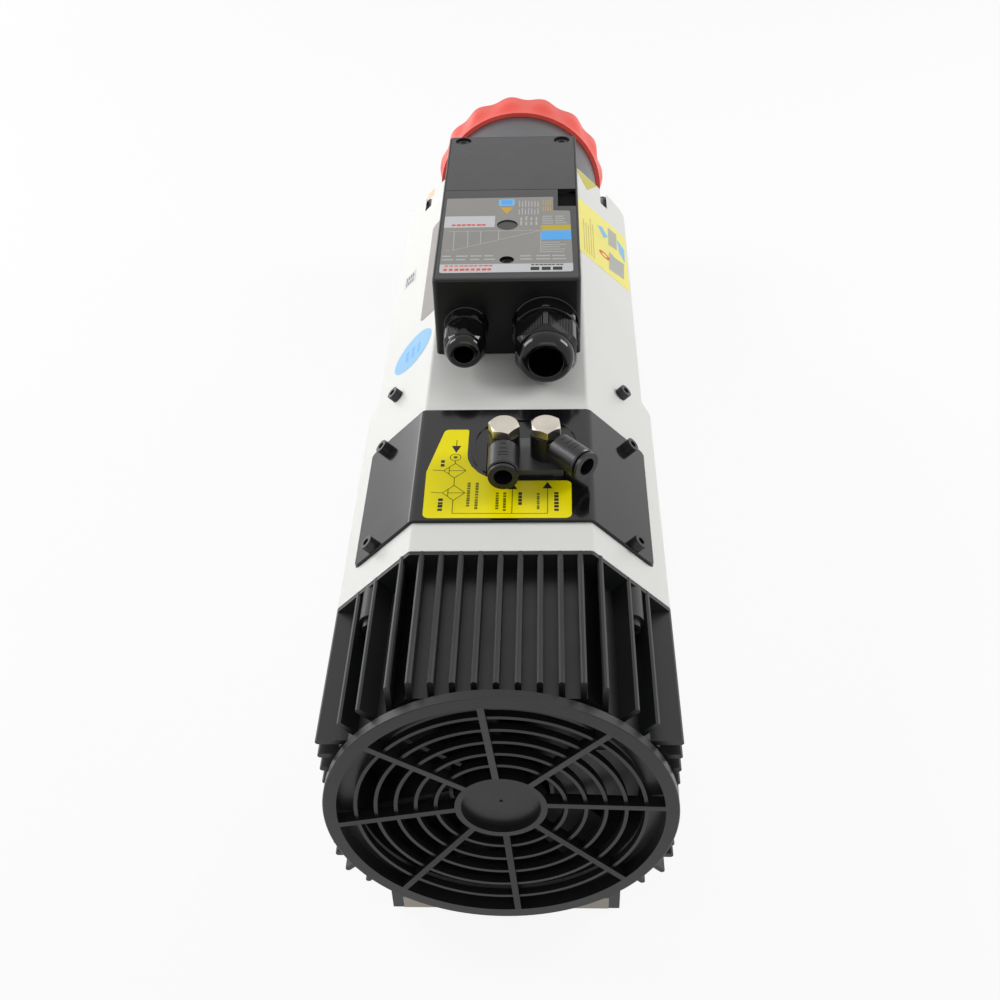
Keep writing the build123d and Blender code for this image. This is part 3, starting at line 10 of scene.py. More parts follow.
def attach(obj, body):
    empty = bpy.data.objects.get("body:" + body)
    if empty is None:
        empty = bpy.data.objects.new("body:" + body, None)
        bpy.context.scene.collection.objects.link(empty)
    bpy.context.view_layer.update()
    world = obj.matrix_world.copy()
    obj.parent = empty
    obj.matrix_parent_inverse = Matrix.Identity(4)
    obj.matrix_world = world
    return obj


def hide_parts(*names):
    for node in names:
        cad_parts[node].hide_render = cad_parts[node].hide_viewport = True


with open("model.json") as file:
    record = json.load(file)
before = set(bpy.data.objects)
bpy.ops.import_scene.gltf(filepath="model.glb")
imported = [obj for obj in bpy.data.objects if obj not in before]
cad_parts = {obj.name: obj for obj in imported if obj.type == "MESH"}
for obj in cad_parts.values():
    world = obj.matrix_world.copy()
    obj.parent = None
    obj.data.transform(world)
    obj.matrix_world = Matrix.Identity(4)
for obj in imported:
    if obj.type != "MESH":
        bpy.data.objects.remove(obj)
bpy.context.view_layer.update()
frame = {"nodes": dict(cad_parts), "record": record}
nodes = frame["nodes"]
MM = 0.001

# ---------------------------------------------------------------- camera
CAMERA_PLACE = Vector((26.28, -665.40, 639.38)) * MM
CAMERA_YAW, CAMERA_PITCH, CAMERA_ROLL = -0.05176, 0.70013, -0.03850
FOCAL_PIXELS = 1293.6
IMAGE_PIXELS = 1000
SENSOR = 36.0
CLIP_NEAR, CLIP_FAR = 0.01, 20  # metres


def make_camera():
    """Camera at the photograph's place and angle."""
    ahead = Vector(
        (
            sin(CAMERA_YAW) * cos(CAMERA_PITCH),
            cos(CAMERA_YAW) * cos(CAMERA_PITCH),
            -sin(CAMERA_PITCH),
        )
    )
    right = ahead.cross(Vector((0, 0, 1))).normalized()
    up = right.cross(ahead)
    right, up = (
        right * cos(CAMERA_ROLL) + up * sin(CAMERA_ROLL),
        up * cos(CAMERA_ROLL) - right * sin(CAMERA_ROLL),
    )
    data = bpy.data.cameras.new("camera")
    data.sensor_width = SENSOR
    data.lens = SENSOR * FOCAL_PIXELS / IMAGE_PIXELS
    data.clip_start, data.clip_end = CLIP_NEAR, CLIP_FAR
    camera = bpy.data.objects.new("camera", data)
    turn = Matrix((right, up, -ahead)).transposed()
    camera.matrix_world = Matrix.Translation(CAMERA_PLACE) @ turn.to_4x4()
    bpy.context.scene.collection.objects.link(camera)
    bpy.context.scene.camera = camera


make_camera()
bpy.context.scene.view_settings.view_transform = "Standard"


# ---------------------------------------------------------------- materials
DRIFT_DETAIL, GLOSS_DETAIL, GRAIN_DETAIL = 4, 3, 2
GLOSS_FINENESS = 3  # patches of gloss are this much smaller than those of colour
DRIFT_ENDS = (0.3, 0.7)  # noise values where the darkest and the lightest colour are reached
SMOOTHEST = 0.02
COAT_ROUGHNESS = 0.06
GRAIN_DEPTH = 0.3  # share of the grain's size


def material(name, colour, rough, metal=0.0, vary=0.15, vary_scale=25.0, grain=0.0, grain_size=0.5,
             rough_vary=0.06, coat=0.0, stretch=(1, 1, 1), sheen=0.0, level=0.5):
    """Procedural finish: colour drift, uneven gloss, and a grain of grain_size millimetres."""
    made = bpy.data.materials.new(name)
    made.use_nodes = True
    tree = made.node_tree
    shader = tree.nodes["Principled BSDF"]
    shader.inputs["Metallic"].default_value = metal
    shader.inputs["Specular IOR Level"].default_value = level
    shader.inputs["Coat Weight"].default_value = coat
    shader.inputs["Coat Roughness"].default_value = COAT_ROUGHNESS
    shader.inputs["Sheen Weight"].default_value = sheen
    place = tree.nodes.new("ShaderNodeTexCoord")
    scaled = tree.nodes.new("ShaderNodeMapping")
    scaled.inputs["Scale"].default_value = stretch
    tree.links.new(place.outputs["Object"], scaled.inputs["Vector"])

    def noise(scale, detail):
        node = tree.nodes.new("ShaderNodeTexNoise")
        node.inputs["Scale"].default_value = scale
        node.inputs["Detail"].default_value = detail
        tree.links.new(scaled.outputs["Vector"], node.inputs["Vector"])
        return node

    drift = noise(vary_scale, DRIFT_DETAIL)
    ramp = tree.nodes.new("ShaderNodeValToRGB")
    dark = [c * (1 - vary) for c in colour]
    light = [min(1.0, c * (1 + vary)) for c in colour]
    ends = ramp.color_ramp.elements
    ends[0].position, ends[1].position = DRIFT_ENDS
    ends[0].color, ends[1].color = (*dark, 1), (*light, 1)
    tree.links.new(drift.outputs["Fac"], ramp.inputs["Fac"])
    tree.links.new(ramp.outputs["Color"], shader.inputs["Base Color"])
    gloss = noise(vary_scale * GLOSS_FINENESS, GLOSS_DETAIL)
    spread = tree.nodes.new("ShaderNodeMapRange")
    spread.inputs["To Min"].default_value = max(SMOOTHEST, rough - rough_vary)
    spread.inputs["To Max"].default_value = min(1.0, rough + rough_vary)
    tree.links.new(gloss.outputs["Fac"], spread.inputs["Value"])
    tree.links.new(spread.outputs["Result"], shader.inputs["Roughness"])
    if grain:
        fine = noise(1 / (grain_size * MM) / 2, GRAIN_DETAIL)
        bump = tree.nodes.new("ShaderNodeBump")
        bump.inputs["Strength"].default_value = grain
        bump.inputs["Distance"].default_value = grain_size * MM * GRAIN_DEPTH
        tree.links.new(fine.outputs["Fac"], bump.inputs["Height"])
        tree.links.new(bump.outputs["Normal"], shader.inputs["Normal"])
    return made


# One finish for each material slot in the record.
FINISH = {
    "housing_black": material("anodised_black", (0.0105, 0.0110, 0.0115), 0.36, grain=0.25,
                              grain_size=0.6, vary=0.2),
    "plate_bare": material("bare_plate", (0.30, 0.27, 0.23), 0.42, metal=0.7, grain=0.15,
                           stretch=(1, 8, 1), vary=0.2),
    "sheet_white": material("sheet_paint", (0.80, 0.795, 0.76), 0.38, grain=0.12, grain_size=0.8,
                            vary=0.012, vary_scale=9),
    "plate_gloss": material("gloss_black", (0.006, 0.006, 0.007), 0.12, vary=0.15, rough_vary=0.03,
                            coat=0.12, vary_scale=14, level=0.38),
    "screw_dark": material("blackened_steel", (0.03, 0.03, 0.032), 0.30, metal=0.5, grain=0.2,
                           grain_size=0.3, vary=0.2),
    "nickel": material("nickel_plate", (0.60, 0.55, 0.48), 0.30, metal=1.0, grain=0.08,
                       grain_size=0.4, vary=0.08, vary_scale=90),
    "elbow_black": material("elbow_plastic", (0.011, 0.011, 0.012), 0.30, grain=0.2,
                            grain_size=0.35),
    "collar_grey": material("collar_plastic", (0.009, 0.0093, 0.0098), 0.33, grain=0.2,
                            grain_size=0.35, level=0.42),
    "box_charcoal": material("box_plastic", (0.0055, 0.0056, 0.0060), 0.34, grain=0.4,
                             grain_size=0.45, vary=0.12, level=0.28),
    "strip_pale": material("strip_plastic", (0.70, 0.67, 0.58), 0.45, grain=0.2),
    "gland_black": material("gland_plastic", (0.0035, 0.0035, 0.004), 0.10, grain=0.05,
                            grain_size=0.5, rough_vary=0.03, level=0.36),
    "seal_rubber": material("seal_rubber", (0.02, 0.02, 0.02), 0.7, grain=0.3),
    "fan_black": material("fan_plastic", (0.0105, 0.0108, 0.0112), 0.34, grain=0.22, grain_size=0.5,
                          rough_vary=0.08, level=0.42),
    "fan_motor_black": material("motor_paint", (0.03, 0.03, 0.032), 0.45, grain=0.2),
    "machined_aluminium": material("turned_aluminium", (0.62, 0.62, 0.63), 0.30, metal=1.0,
                                   grain=0.2, grain_size=0.3, stretch=(1, 14, 1)),
    "ground_steel": material("ground_steel", (0.50, 0.50, 0.52), 0.22, metal=1.0, grain=0.1,
                             grain_size=0.25, stretch=(1, 10, 1)),
    "spring_steel": material("spring_steel", (0.32, 0.32, 0.34), 0.34, metal=1.0, grain=0.15),
    "laminations": material("laminations", (0.22, 0.22, 0.24), 0.5, metal=0.8, grain=0.5,
                            grain_size=0.5, stretch=(1, 30, 1)),
    "copper": material("copper_wire", (0.60, 0.27, 0.14), 0.34, metal=1.0, grain=0.6,
                       grain_size=0.9),
    "bronze": material("bronze", (0.52, 0.36, 0.18), 0.34, metal=1.0, grain=0.15),
    "nose_grey": material("nose_paint", (0.108, 0.108, 0.114), 0.36, grain=0.15, grain_size=0.5,
                          metal=0.35, vary=0.06, stretch=(1, 3, 1)),
    "cap_red": material("cap_rubber", (0.97, 0.100, 0.070), 0.40, grain=0.12, grain_size=0.7,
                        vary=0.05, vary_scale=30, sheen=0.12, level=0.35),
}

# Nodes whose plastic differs from the rest of their slot: the lids are a lighter, glossier copy of
# the box's plastic, painted light that brightens the box's top faces; the inlet block is a grey
# plastic.
LID_PAINTED_LIGHT = material("lid_plastic_painted_light", (0.018, 0.018, 0.019), 0.34, grain=0.5, grain_size=0.45, vary=0.1,
               level=0.55)
BLOCK = material("block_plastic", (0.085, 0.085, 0.083), 0.32, grain=0.3, grain_size=0.4)
OTHER_FINISH = {"lid_near": LID_PAINTED_LIGHT, "lid_far": LID_PAINTED_LIGHT, "inlet_block": BLOCK}

for part in frame["record"]["subparts"]:
    shown = nodes[part["node"]]
    finish = OTHER_FINISH.get(part["node"], FINISH[part["material_slot"]])
    shown.data.materials.clear()
    shown.data.materials.append(finish)

PRINT_ROUGHNESS = 0.32


def printed(name, colour):
    """Label film or ink of one colour, a little uneven."""
    return material(name, colour, PRINT_ROUGHNESS, vary=0.03, vary_scale=40, grain=0.04,
                    grain_size=0.6, level=0.25)


SATIN = material("gland_satin", (0.020, 0.020, 0.021), 0.40, grain=0.1, grain_size=0.4)

PRINT = {
    "yellow": printed("film_yellow", (0.96, 0.83, 0.0)),
    "pale_yellow": printed("film_pale_yellow", (0.97, 0.87, 0.20)),
    "dull_yellow": printed("film_dull_yellow", (0.62, 0.55, 0.06)),
    "grey": printed("film_grey", (0.30, 0.29, 0.27)),
    "warm_grey": printed("film_warm_grey", (0.30, 0.27, 0.255)),
    "silver": printed("film_silver", (0.62, 0.62, 0.63)),
    "blue": printed("film_blue", (0.10, 0.44, 0.93)),
    "sky": printed("film_sky", (0.24, 0.55, 0.86)),
    "ochre": printed("film_ochre", (0.56, 0.42, 0.03)),
    "amber": printed("film_amber", (0.66, 0.38, 0.04)),
    "peach": printed("film_peach", (0.85, 0.60, 0.36)),
    "black_ink": printed("ink_black", (0.012, 0.014, 0.012)),
    # Near-black sheet for the lid's notch: painted shade in the recess.
    "notch_painted_shade": material("notch_painted_shade_black", (0.002, 0.002, 0.002), 0.7, level=0.08, grain=0.1),
    "olive_ink": printed("ink_olive", (0.16, 0.14, 0.0)),
    "pale_ink": printed("ink_pale", (0.50, 0.50, 0.48)),
    "red_ink": printed("ink_red", (0.75, 0.10, 0.06)),
    "brown_ink": printed("ink_brown", (0.66, 0.50, 0.12)),
    "mist_ink": printed("ink_mist", (0.46, 0.46, 0.40)),
}


# ---------------------------------------------------------------- places on the object
# From here to the stage, sizes are in millimetres. A station is a distance forwards from the
# joint plane of the rear and motor housings, and a height is measured from the spindle axis.
JOINT_STATION = -170.0
AXIS_HEIGHT = 97.0
CORNER_REACH = 137.85  # sideways distance plus height, on the cover's 45-degree faces
COVER_TOP = 90.0
PLATE_TOP = COVER_TOP + 2.0
LID_TOP = COVER_TOP + 52.9


def spot(x, station, height):
    """Point in metres from a sideways distance, a station and a height in millimetres."""
    return Vector((x, JOINT_STATION + station, AXIS_HEIGHT + height)) * MM


def on_flat(height):
    """Places on a level face: maps (x, station, lift) to a point."""
    return lambda x, station, lift: spot(x, station, height + lift)


def on_shoulder(side):
    """Places on the right (1) or left (-1) 45-degree face of the cover."""
    def place(x, station, lift):
        off = lift / sqrt(2)
        return spot(side * (x + off), station, CORNER_REACH - x + off)
    return place


def round_axis(turn, station, radius):
    """Place round the spindle axis."""
    return spot(radius * cos(turn), station, radius * sin(turn))


# ---------------------------------------------------------------- meshes
def add_piece(name, mesh, finish, body, *replaced):
    """Show a mesh as a piece of one body, in place of the nodes named."""
    mesh.materials.clear()
    mesh.materials.append(finish)
    made = bpy.data.objects.new(name, mesh)
    bpy.context.scene.collection.objects.link(made)
    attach(made, body)
    if replaced:
        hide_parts(*replaced)
    return made


def to_mesh(name, shape, triangles=False):
    """Turn a bmesh into a mesh with its faces outwards, and free it."""
    bmesh.ops.recalc_face_normals(shape, faces=shape.faces)
    if triangles:
        bmesh.ops.triangulate(shape, faces=shape.faces)
    mesh = bpy.data.meshes.new(name)
    shape.to_mesh(mesh)
    shape.free()
    return mesh


def sharpen(piece, angle):
    """Shade smooth but keep the edges that turn by more than the angle in degrees."""
    bpy.context.view_layer.objects.active = piece
    piece.select_set(True)
    bpy.ops.object.shade_smooth_by_angle(angle=radians(angle))
    piece.select_set(False)


def bridge(shape, low, high):
    """Faces between two closed rows with as many corners each."""
    faces = []
    for index in range(len(low)):
        after = (index + 1) % len(low)
        faces.append(shape.faces.new((low[index], low[after], high[after], high[index])))
    return faces


def block(shape, place, corners, lift, depth):
    """Add a thin prism with these (x, station) corners to a bmesh."""
    low = [shape.verts.new(place(x, y, lift)) for x, y in corners]
    high = [shape.verts.new(place(x, y, lift + depth)) for x, y in corners]
    shape.faces.new(high)
    shape.faces.new(low[::-1])
    bridge(shape, low, high)


def turned_rows(shape, place, turns, loops):
    """Rows of corners round an axis: a loop maps a turn to how far along, and to a radius."""
    return [[shape.verts.new(place(turn, *loop(turn))) for turn in turns] for loop in loops]


def round_loop(along, radius):
    """Loop of one radius."""
    return lambda turn: (along, radius)


# ---------------------------------------------------------------- flat shapes
FILM_DEPTH, INK_DEPTH = 0.12, 0.04
FILM_LIFT = 0.03  # a label's underside above its face
INK_LIFT = 0.15  # print sits on the film
BLUE_LIFT = INK_LIFT + 0.03  # print over print
PATCH_INK_LIFT = INK_LIFT + 0.05
MERGE_DISTANCE = 0.001
ARC_STEPS = 6
RING_STEPS, DOT_STEPS, HOLE_STEPS, OVAL_STEPS = 24, 20, 32, 40


def rounded(corners):
    """Outline through (x, y, radius) corners, each rounded by an arc of its radius."""
    outline = []
    for index, (x, y, radius) in enumerate(corners):
        here = Vector((x, y))
        before = Vector(corners[index - 1][:2]) - here
        after = Vector(corners[(index + 1) % len(corners)][:2]) - here
        if radius == 0:
            outline.append(here)
            continue
        before.normalize()
        after.normalize()
        half = before.angle(after) / 2
        start = here + before * radius / tan(half)
        end = here + after * radius / tan(half)
        centre = here + (before + after).normalized() * radius / sin(half)
        for step in range(ARC_STEPS + 1):
            way = start.lerp(end, step / ARC_STEPS) - centre
            outline.append(centre + way.normalized() * radius)
    return outline


def stroke(start, end, width):
    """Corners of a straight stroke."""
    a, b = Vector(start), Vector(end)
    side = (b - a).normalized().orthogonal() * width / 2
    return [a + side, b + side, b - side, a - side]


def disc(x, y, radius, steps=DOT_STEPS):
    """Corners of a round spot."""
    return [
        (x + radius * cos(2 * pi * step / steps), y + radius * sin(2 * pi * step / steps))
        for step in range(steps)
    ]


def ring(x, y, radius, width):
    """Short strokes that make a circle."""
    points = disc(x, y, radius, RING_STEPS)
    return [stroke(points[step - 1], points[step], width) for step in range(RING_STEPS)]


def oval(x, y, half_width, half_length, lean):
    """Corners of an ellipse whose ends are shifted sideways by the lean."""
    return [
        (x + half_width * cos(turn) - lean * sin(turn), y + half_length * sin(turn))
        for turn in (2 * pi * step / OVAL_STEPS for step in range(OVAL_STEPS))
    ]


def box_corners(x0, y0, x1, y1):
    """Corners of an upright rectangle."""
    return [(x0, y0), (x1, y0), (x1, y1), (x0, y1)]


SHORTEST_BAR, LONGEST_BAR = 0.62, 0.9  # shares of a bar's room


def bars(x0, y0, x1, y1, rows, fill, breaks, along_y, seed):
    """Rows of short bars in a rectangle, which stand for lines of small print."""
    chance = Random(seed)
    made = []
    for row in range(rows):
        low, high = (row + (1 - fill) / 2) / rows, (row + (1 + fill) / 2) / rows
        place = 0.0
        pieces = breaks + 1
        for piece in range(pieces):
            length = (1 / pieces) * chance.uniform(SHORTEST_BAR, LONGEST_BAR)
            first, last = place, place + length
            place += 1 / pieces
            if along_y:
                made.append(box_corners(x0 + (x1 - x0) * low, y0 + (y1 - y0) * first,
                                        x0 + (x1 - x0) * high, y0 + (y1 - y0) * last))
            else:
                made.append(box_corners(x0 + (x1 - x0) * first, y0 + (y1 - y0) * low,
                                        x0 + (x1 - x0) * last, y0 + (y1 - y0) * high))
    return made


def all_bars(rows):
    """Bars of several rectangles: (x0, y0, x1, y1, rows, fill, breaks, along y, seed) each."""
    return [shape for row in rows for shape in bars(*row)]


# ---------------------------------------------------------------- films and ink
def film(name, place, outline, finish):
    """Thin sheet on a face of the housing, with this (x, station) outline."""
    shape = bmesh.new()
    block(shape, place, outline, FILM_LIFT, FILM_DEPTH)
    add_piece(name, to_mesh(name, shape, triangles=True), finish, "housing")


def thicken(shape, place):
    """Give a flat sheet of (x, station) corners a film's depth on a face, always in one order."""
    low, sheet = list(shape.verts), list(shape.faces)
    rim = [edge.link_loops[0] for edge in shape.edges if edge.is_boundary]
    sides = [(loop.vert, loop.link_loop_next.vert) for loop in rim]
    high = {vert: shape.verts.new() for vert in low}
    for face in sheet:
        shape.faces.new([high[vert] for vert in face.verts])
    for start, end in sides:
        shape.faces.new((start, end, high[end], high[start]))
    for vert in low:
        x, y = vert.co.xy
        vert.co = place(x, y, FILM_LIFT)
        high[vert].co = place(x, y, FILM_LIFT + FILM_DEPTH)


def cut_film(name, place, outline, holes, finish):
    """Thin sheet with round holes, each given as (x, station, radius)."""
    curve = bpy.data.curves.new(name, "CURVE")
    curve.dimensions = "2D"
    curve.fill_mode = "BOTH"
    for loop in [outline] + [disc(*hole, HOLE_STEPS) for hole in holes]:
        spline = curve.splines.new("POLY")
        spline.points.add(len(loop) - 1)
        for point, (x, y) in zip(spline.points, loop):
            point.co = (x, y, 0, 1)
        spline.use_cyclic_u = True
    holder = bpy.data.objects.new(name + "_outline", curve)
    bpy.context.scene.collection.objects.link(holder)
    bpy.context.view_layer.update()
    filled = holder.evaluated_get(bpy.context.evaluated_depsgraph_get())
    flat = bpy.data.meshes.new_from_object(filled)
    bpy.data.objects.remove(holder)
    bpy.data.curves.remove(curve)
    shape = bmesh.new()
    shape.from_mesh(flat)
    bpy.data.meshes.remove(flat)
    bmesh.ops.remove_doubles(shape, verts=shape.verts, dist=MERGE_DISTANCE)
    thicken(shape, place)
    add_piece(name, to_mesh(name, shape), finish, "housing")


def ink(name, place, shapes, finish, lift=INK_LIFT, depth=INK_DEPTH, body="housing"):
    """One piece of print made of many flat shapes on one face."""
    shape = bmesh.new()
    for corners in shapes:
        block(shape, place, corners, lift, depth)
    add_piece(name, to_mesh(name, shape), finish, body)


# ---------------------------------------------------------------- air label on the inlet plate
AIR_LINE = 0.45  # width of the diagram's lines
DIAMOND_HALF_WIDTH, DIAMOND_HALF_LENGTH = 6.2, 6.4
DIAMOND_MARK = 3.0
DRAIN_LENGTH, DRAIN_RISE = 6.3, 0.6


def filter_symbol(x, y):
    """Diamond with a small triangle at its left corner, a bar inside and a drain line."""
    left, right = (x - DIAMOND_HALF_WIDTH, y), (x + DIAMOND_HALF_WIDTH, y)
    far, near = (x, y + DIAMOND_HALF_LENGTH), (x, y - DIAMOND_HALF_LENGTH)
    inside = left[0] + DIAMOND_MARK
    return [
        (left, far), (far, right), (right, near), (near, left),
        ((inside, y + DIAMOND_MARK), (inside, y - DIAMOND_MARK)),
        ((inside, y), right),
        ((left[0] - DRAIN_LENGTH, y + DRAIN_RISE), left),
    ]


def air_label():
    """Yellow label beside the air fittings with a generic air preparation diagram."""
    place = on_flat(PLATE_TOP)
    outline = rounded([
        (-34.6, 101.5, 3), (-20.8, 101.5, 1.5), (-20.8, 54.6, 24), (37.4, 54.6, 3),
        (37.2, 23.4, 3.5), (-42.5, 23.6, 3.5), (-43.0, 62.9, 6),
    ])
    film("air_label", place, outline, PRINT["yellow"])
    lines = [
        ((-27.4, 91.6), (-27.4, 86.2)), ((-27.4, 73.0), (-27.4, 70.1)),
        ((-27.1, 57.5), (-27.0, 51.0)), ((-26.9, 38.0), (-26.8, 27.4)),
        ((-26.8, 27.4), (24.3, 27.0)), ((24.3, 27.0), (24.3, 48.2)),
        ((5.2, 27.0), (5.2, 47.6)),
    ]
    lines += filter_symbol(-27.1, 63.8) + filter_symbol(-26.8, 44.5)
    shapes = [stroke(start, end, AIR_LINE) for start, end in lines]
    gauge = (-27.4, 75.7)
    shapes += ring(*gauge, 3.0, AIR_LINE) + [disc(*gauge, 1.2)]
    ink("air_label_lines", place, shapes, PRINT["olive_ink"])
    arrows = [
        [(-30.0, 86.2), (-24.7, 86.2), (-27.3, 79.8)],
        [(21.5, 47.9), (27.0, 47.9), (24.3, 53.4)],
        [(2.6, 47.3), (7.8, 47.3), (5.2, 53.3)],
    ]
    large_print = all_bars((
        (27.6, 29.0, 30.6, 45.6, 1, 0.8, 5, True, 3),
        (8.3, 34.1, 10.7, 45.1, 1, 0.8, 3, True, 5),
        (-35.8, 67.4, -32.8, 74.4, 1, 0.7, 1, True, 7),
        (-35.4, 29.5, -31.8, 40.3, 1, 0.7, 3, True, 8),
    ))
    ink("air_label_marks", place, arrows + large_print, PRINT["black_ink"])
    small_print = all_bars((
        (-20.1, 32.9, -17.3, 53.5, 1, 0.6, 9, True, 11),
        (-15.6, 30.7, -12.8, 53.5, 1, 0.6, 9, True, 12),
        (-4.3, 30.6, -1.6, 45.2, 1, 0.6, 6, True, 13),
        (-0.2, 29.2, 2.4, 45.1, 1, 0.6, 6, True, 14),
        (18.1, 30.5, 20.4, 44.2, 1, 0.6, 6, True, 15),
    ))
    ink("air_label_print", place, small_print, PRINT["olive_ink"])


# ---------------------------------------------------------------- rating label on the lid
RATING_LINE = 0.5  # width of the curve's lines
STRIP_STATION = 201.9  # where the grey label ends and the title strip begins
# Depth of the painted shade sheet in the lid's notch.
NOTCH_FLOOR = -3.17  # the film's underside, below the lid's top


def rating_label():
    """Grey label on the near lid: bare title strip, coloured blocks, a curve and small print."""
    place = on_flat(LID_TOP)
    knockout = (-0.9, 251.2, 6.7)
    screw = (-0.3, 206.7, 4.5)
    outline = rounded([
        (-41.6, 288.2, 1.5), (28.6, 289.0, 1), (28.6, 270.0, 0), (39.4, 269.4, 1.5),
        (40.3, STRIP_STATION, 0), (-41.2, STRIP_STATION, 0),
    ])
    cut_film("rating_label", place, outline, (knockout, screw), PRINT["grey"])
    strip = rounded([
        (-41.2, STRIP_STATION, 0), (40.3, STRIP_STATION, 0), (40.4, 192.0, 2), (-41.0, 191.6, 2),
    ])
    film("title_strip", place, strip, PRINT["silver"])
    # Near-black sheet at the bottom of the lid's notch: painted shade for the recess.
    notch = box_corners(31.7, 276.3, 43.5, 299.5)
    ink("notch_shade_sheet", place, [notch], PRINT["notch_painted_shade"], NOTCH_FLOOR)
    patch = box_corners(-41.5, 248.4, -9.0, 263.4)
    ink("rating_white_patch", place, [patch], PRINT["silver"])
    blue = [box_corners(20.6, 230.9, 39.8, 243.1), box_corners(-5.4, 278.6, 1.7, 284.9)]
    ink("rating_blue", place, blue, PRINT["blue"], BLUE_LIFT)
    badge = rounded([(-7.1, 286.2, 1.5), (3.3, 286.2, 1.5), (3.3, 277.0, 1.5), (-7.1, 277.0, 1.5)])
    ink("rating_badge", place, [badge], PRINT["sky"])
    ink("rating_ochre", place, [box_corners(20.6, 243.1, 39.7, 250.3)], PRINT["ochre"])
    ink("rating_amber", place, [[(-6.1, 274.9), (2.6, 274.9), (-1.7, 265.9)]], PRINT["amber"])
    lines = [
        ((-38.1, 243.4), (20.5, 243.6)), ((20.5, 243.4), (-34.5, 219.1)),
        ((-34.5, 243.3), (-34.0, 219.4)), ((-25.8, 243.3), (-25.2, 222.9)),
        ((-17.6, 243.3), (-17.2, 226.6)), ((-6.2, 243.3), (-6.0, 231.4)),
        ((20.5, 249.3), (20.6, 215.3)), ((-38.6, 219.0), (-35.6, 219.0)),
    ]
    small_print = all_bars((
        (5.4, 264.8, 19.7, 286.0, 7, 0.35, 1, True, 21),
        (6.3, 250.6, 19.3, 263.1, 4, 0.35, 1, True, 22),
        (21.4, 251.2, 38.0, 263.4, 4, 0.35, 1, False, 23),
        (21.2, 214.8, 38.2, 229.4, 5, 0.3, 0, False, 24),
        (8.0, 205.4, 37.6, 213.2, 2, 0.35, 2, False, 25),
        (-40.4, 205.4, -5.6, 214.0, 2, 0.35, 3, False, 26),
    ))
    curve = [stroke(start, end, RATING_LINE) for start, end in lines]
    ink("rating_lines", place, curve + small_print, PRINT["pale_ink"])
    title_red = all_bars((
        (-38.6, 193.4, -8.4, 197.4, 1, 0.6, 8, False, 31),
        (-38.0, 198.7, -8.2, 201.0, 1, 0.6, 9, False, 32),
    ))
    ink("title_red_bars", place, title_red, PRINT["red_ink"])
    title_dark = all_bars((
        (14.5, 193.4, 34.8, 198.2, 1, 0.8, 2, False, 33),
        (14.8, 199.6, 35.0, 201.2, 1, 0.7, 7, False, 34),
    ))
    ink("title_dark_bars", place, title_dark, PRINT["black_ink"])
    patch_bars = bars(-36.6, 250.0, -14.1, 253.0, 1, 0.7, 6, False, 35)
    ink("patch_red_bars", place, patch_bars, PRINT["red_ink"], PATCH_INK_LIFT)
    column = bars(21.3, 269.0, 27.4, 285.6, 4, 0.4, 1, True, 36)
    ink("rating_red_lines", place, column, PRINT["amber"])


# ---------------------------------------------------------------- stickers on the cover
def right_stickers():
    """Notice label and triangle on the right shoulder, with generic shapes for the pictures."""
    place = on_shoulder(1)
    notice = rounded([(46.9, 391, 1), (83.4, 393.5, 1), (83.4, 314, 1), (46.9, 311.5, 1)])
    film("notice_label", place, notice, PRINT["pale_yellow"])
    lines = bars(50.0, 317, 58.5, 381, 5, 0.3, 0, True, 41)
    ink("notice_lines", place, lines, PRINT["brown_ink"])
    blue = [
        [(61.6, 374), (65.2, 377.5), (69.4, 369.5), (66.0, 362)],
        [(76.6, 379), (82.0, 372), (81.6, 352), (77.6, 361)],
    ]
    ink("notice_blue", place, blue, PRINT["sky"])
    grey = [
        [(69.8, 385), (76.4, 386), (76.0, 361), (69.4, 358)],
        [(69.4, 348), (74.0, 346), (80.8, 349), (79.6, 325), (68.4, 321)],
    ]
    ink("notice_grey", place, grey, PRINT["mist_ink"])
    ink("notice_ring", place, ring(65.6, 336, 3.0, 2.0), PRINT["red_ink"])
    triangle = [(45.9, 438.5), (63.0, 439.0), (55.2, 417.6)]
    film("notice_triangle", place, triangle, PRINT["dull_yellow"])


def left_stickers():
    """Bare panel, small label, patch and oval sticker on the left shoulder."""
    place = on_shoulder(-1)
    panel = rounded([(49.4, 373, 2), (60.5, 372, 4), (60.5, 240, 3), (49.4, 240, 2)])
    film("grey_panel", place, panel, PRINT["warm_grey"])
    film("small_grey_label", place, box_corners(70.5, 313, 78.6, 328), PRINT["silver"])
    small_bars = bars(71.5, 314, 77.8, 327, 4, 0.5, 1, True, 51)
    ink("small_label_bars", place, small_bars, PRINT["black_ink"])
    film("orange_patch", place, box_corners(64.5, 431.5, 69.5, 443), PRINT["peach"])
    film("blue_sticker", place, oval(63.2, 209.5, 12.4, 17, 2.0), PRINT["sky"])
    oval_bars = bars(57, 203, 69, 216, 3, 0.5, 1, True, 52)
    ink("blue_sticker_bars", place, oval_bars, PRINT["blue"])


# ---------------------------------------------------------------- nose cap
CAP_START, CAP_END = 587.0, 618.5
CAP_INSIDE_END = 615.5
CAP_BORE = 68.3
CAP_RADIUS = 71.9
CAP_EDGE = 4.0  # radius of the rounded front edge
CAP_LOBES = 15
CAP_LOBE_HEIGHT = 2.9
CAP_LOBE_TURN = 6.9  # degrees from the top to a lobe, towards the left
CAP_STEPS, CAP_ROWS = 240, 22
FLARE_START, FLARE_LENGTH = 0.08, 0.50  # shares of the cap's length
CAP_SHARP_ANGLE = 35


def cap_flare(share):
    """How far the lobes have grown, from the plain rim (0) to the full height (1)."""
    grown = min(1.0, max(0.0, (share - FLARE_START) / FLARE_LENGTH))
    return grown * grown * (3 - 2 * grown)


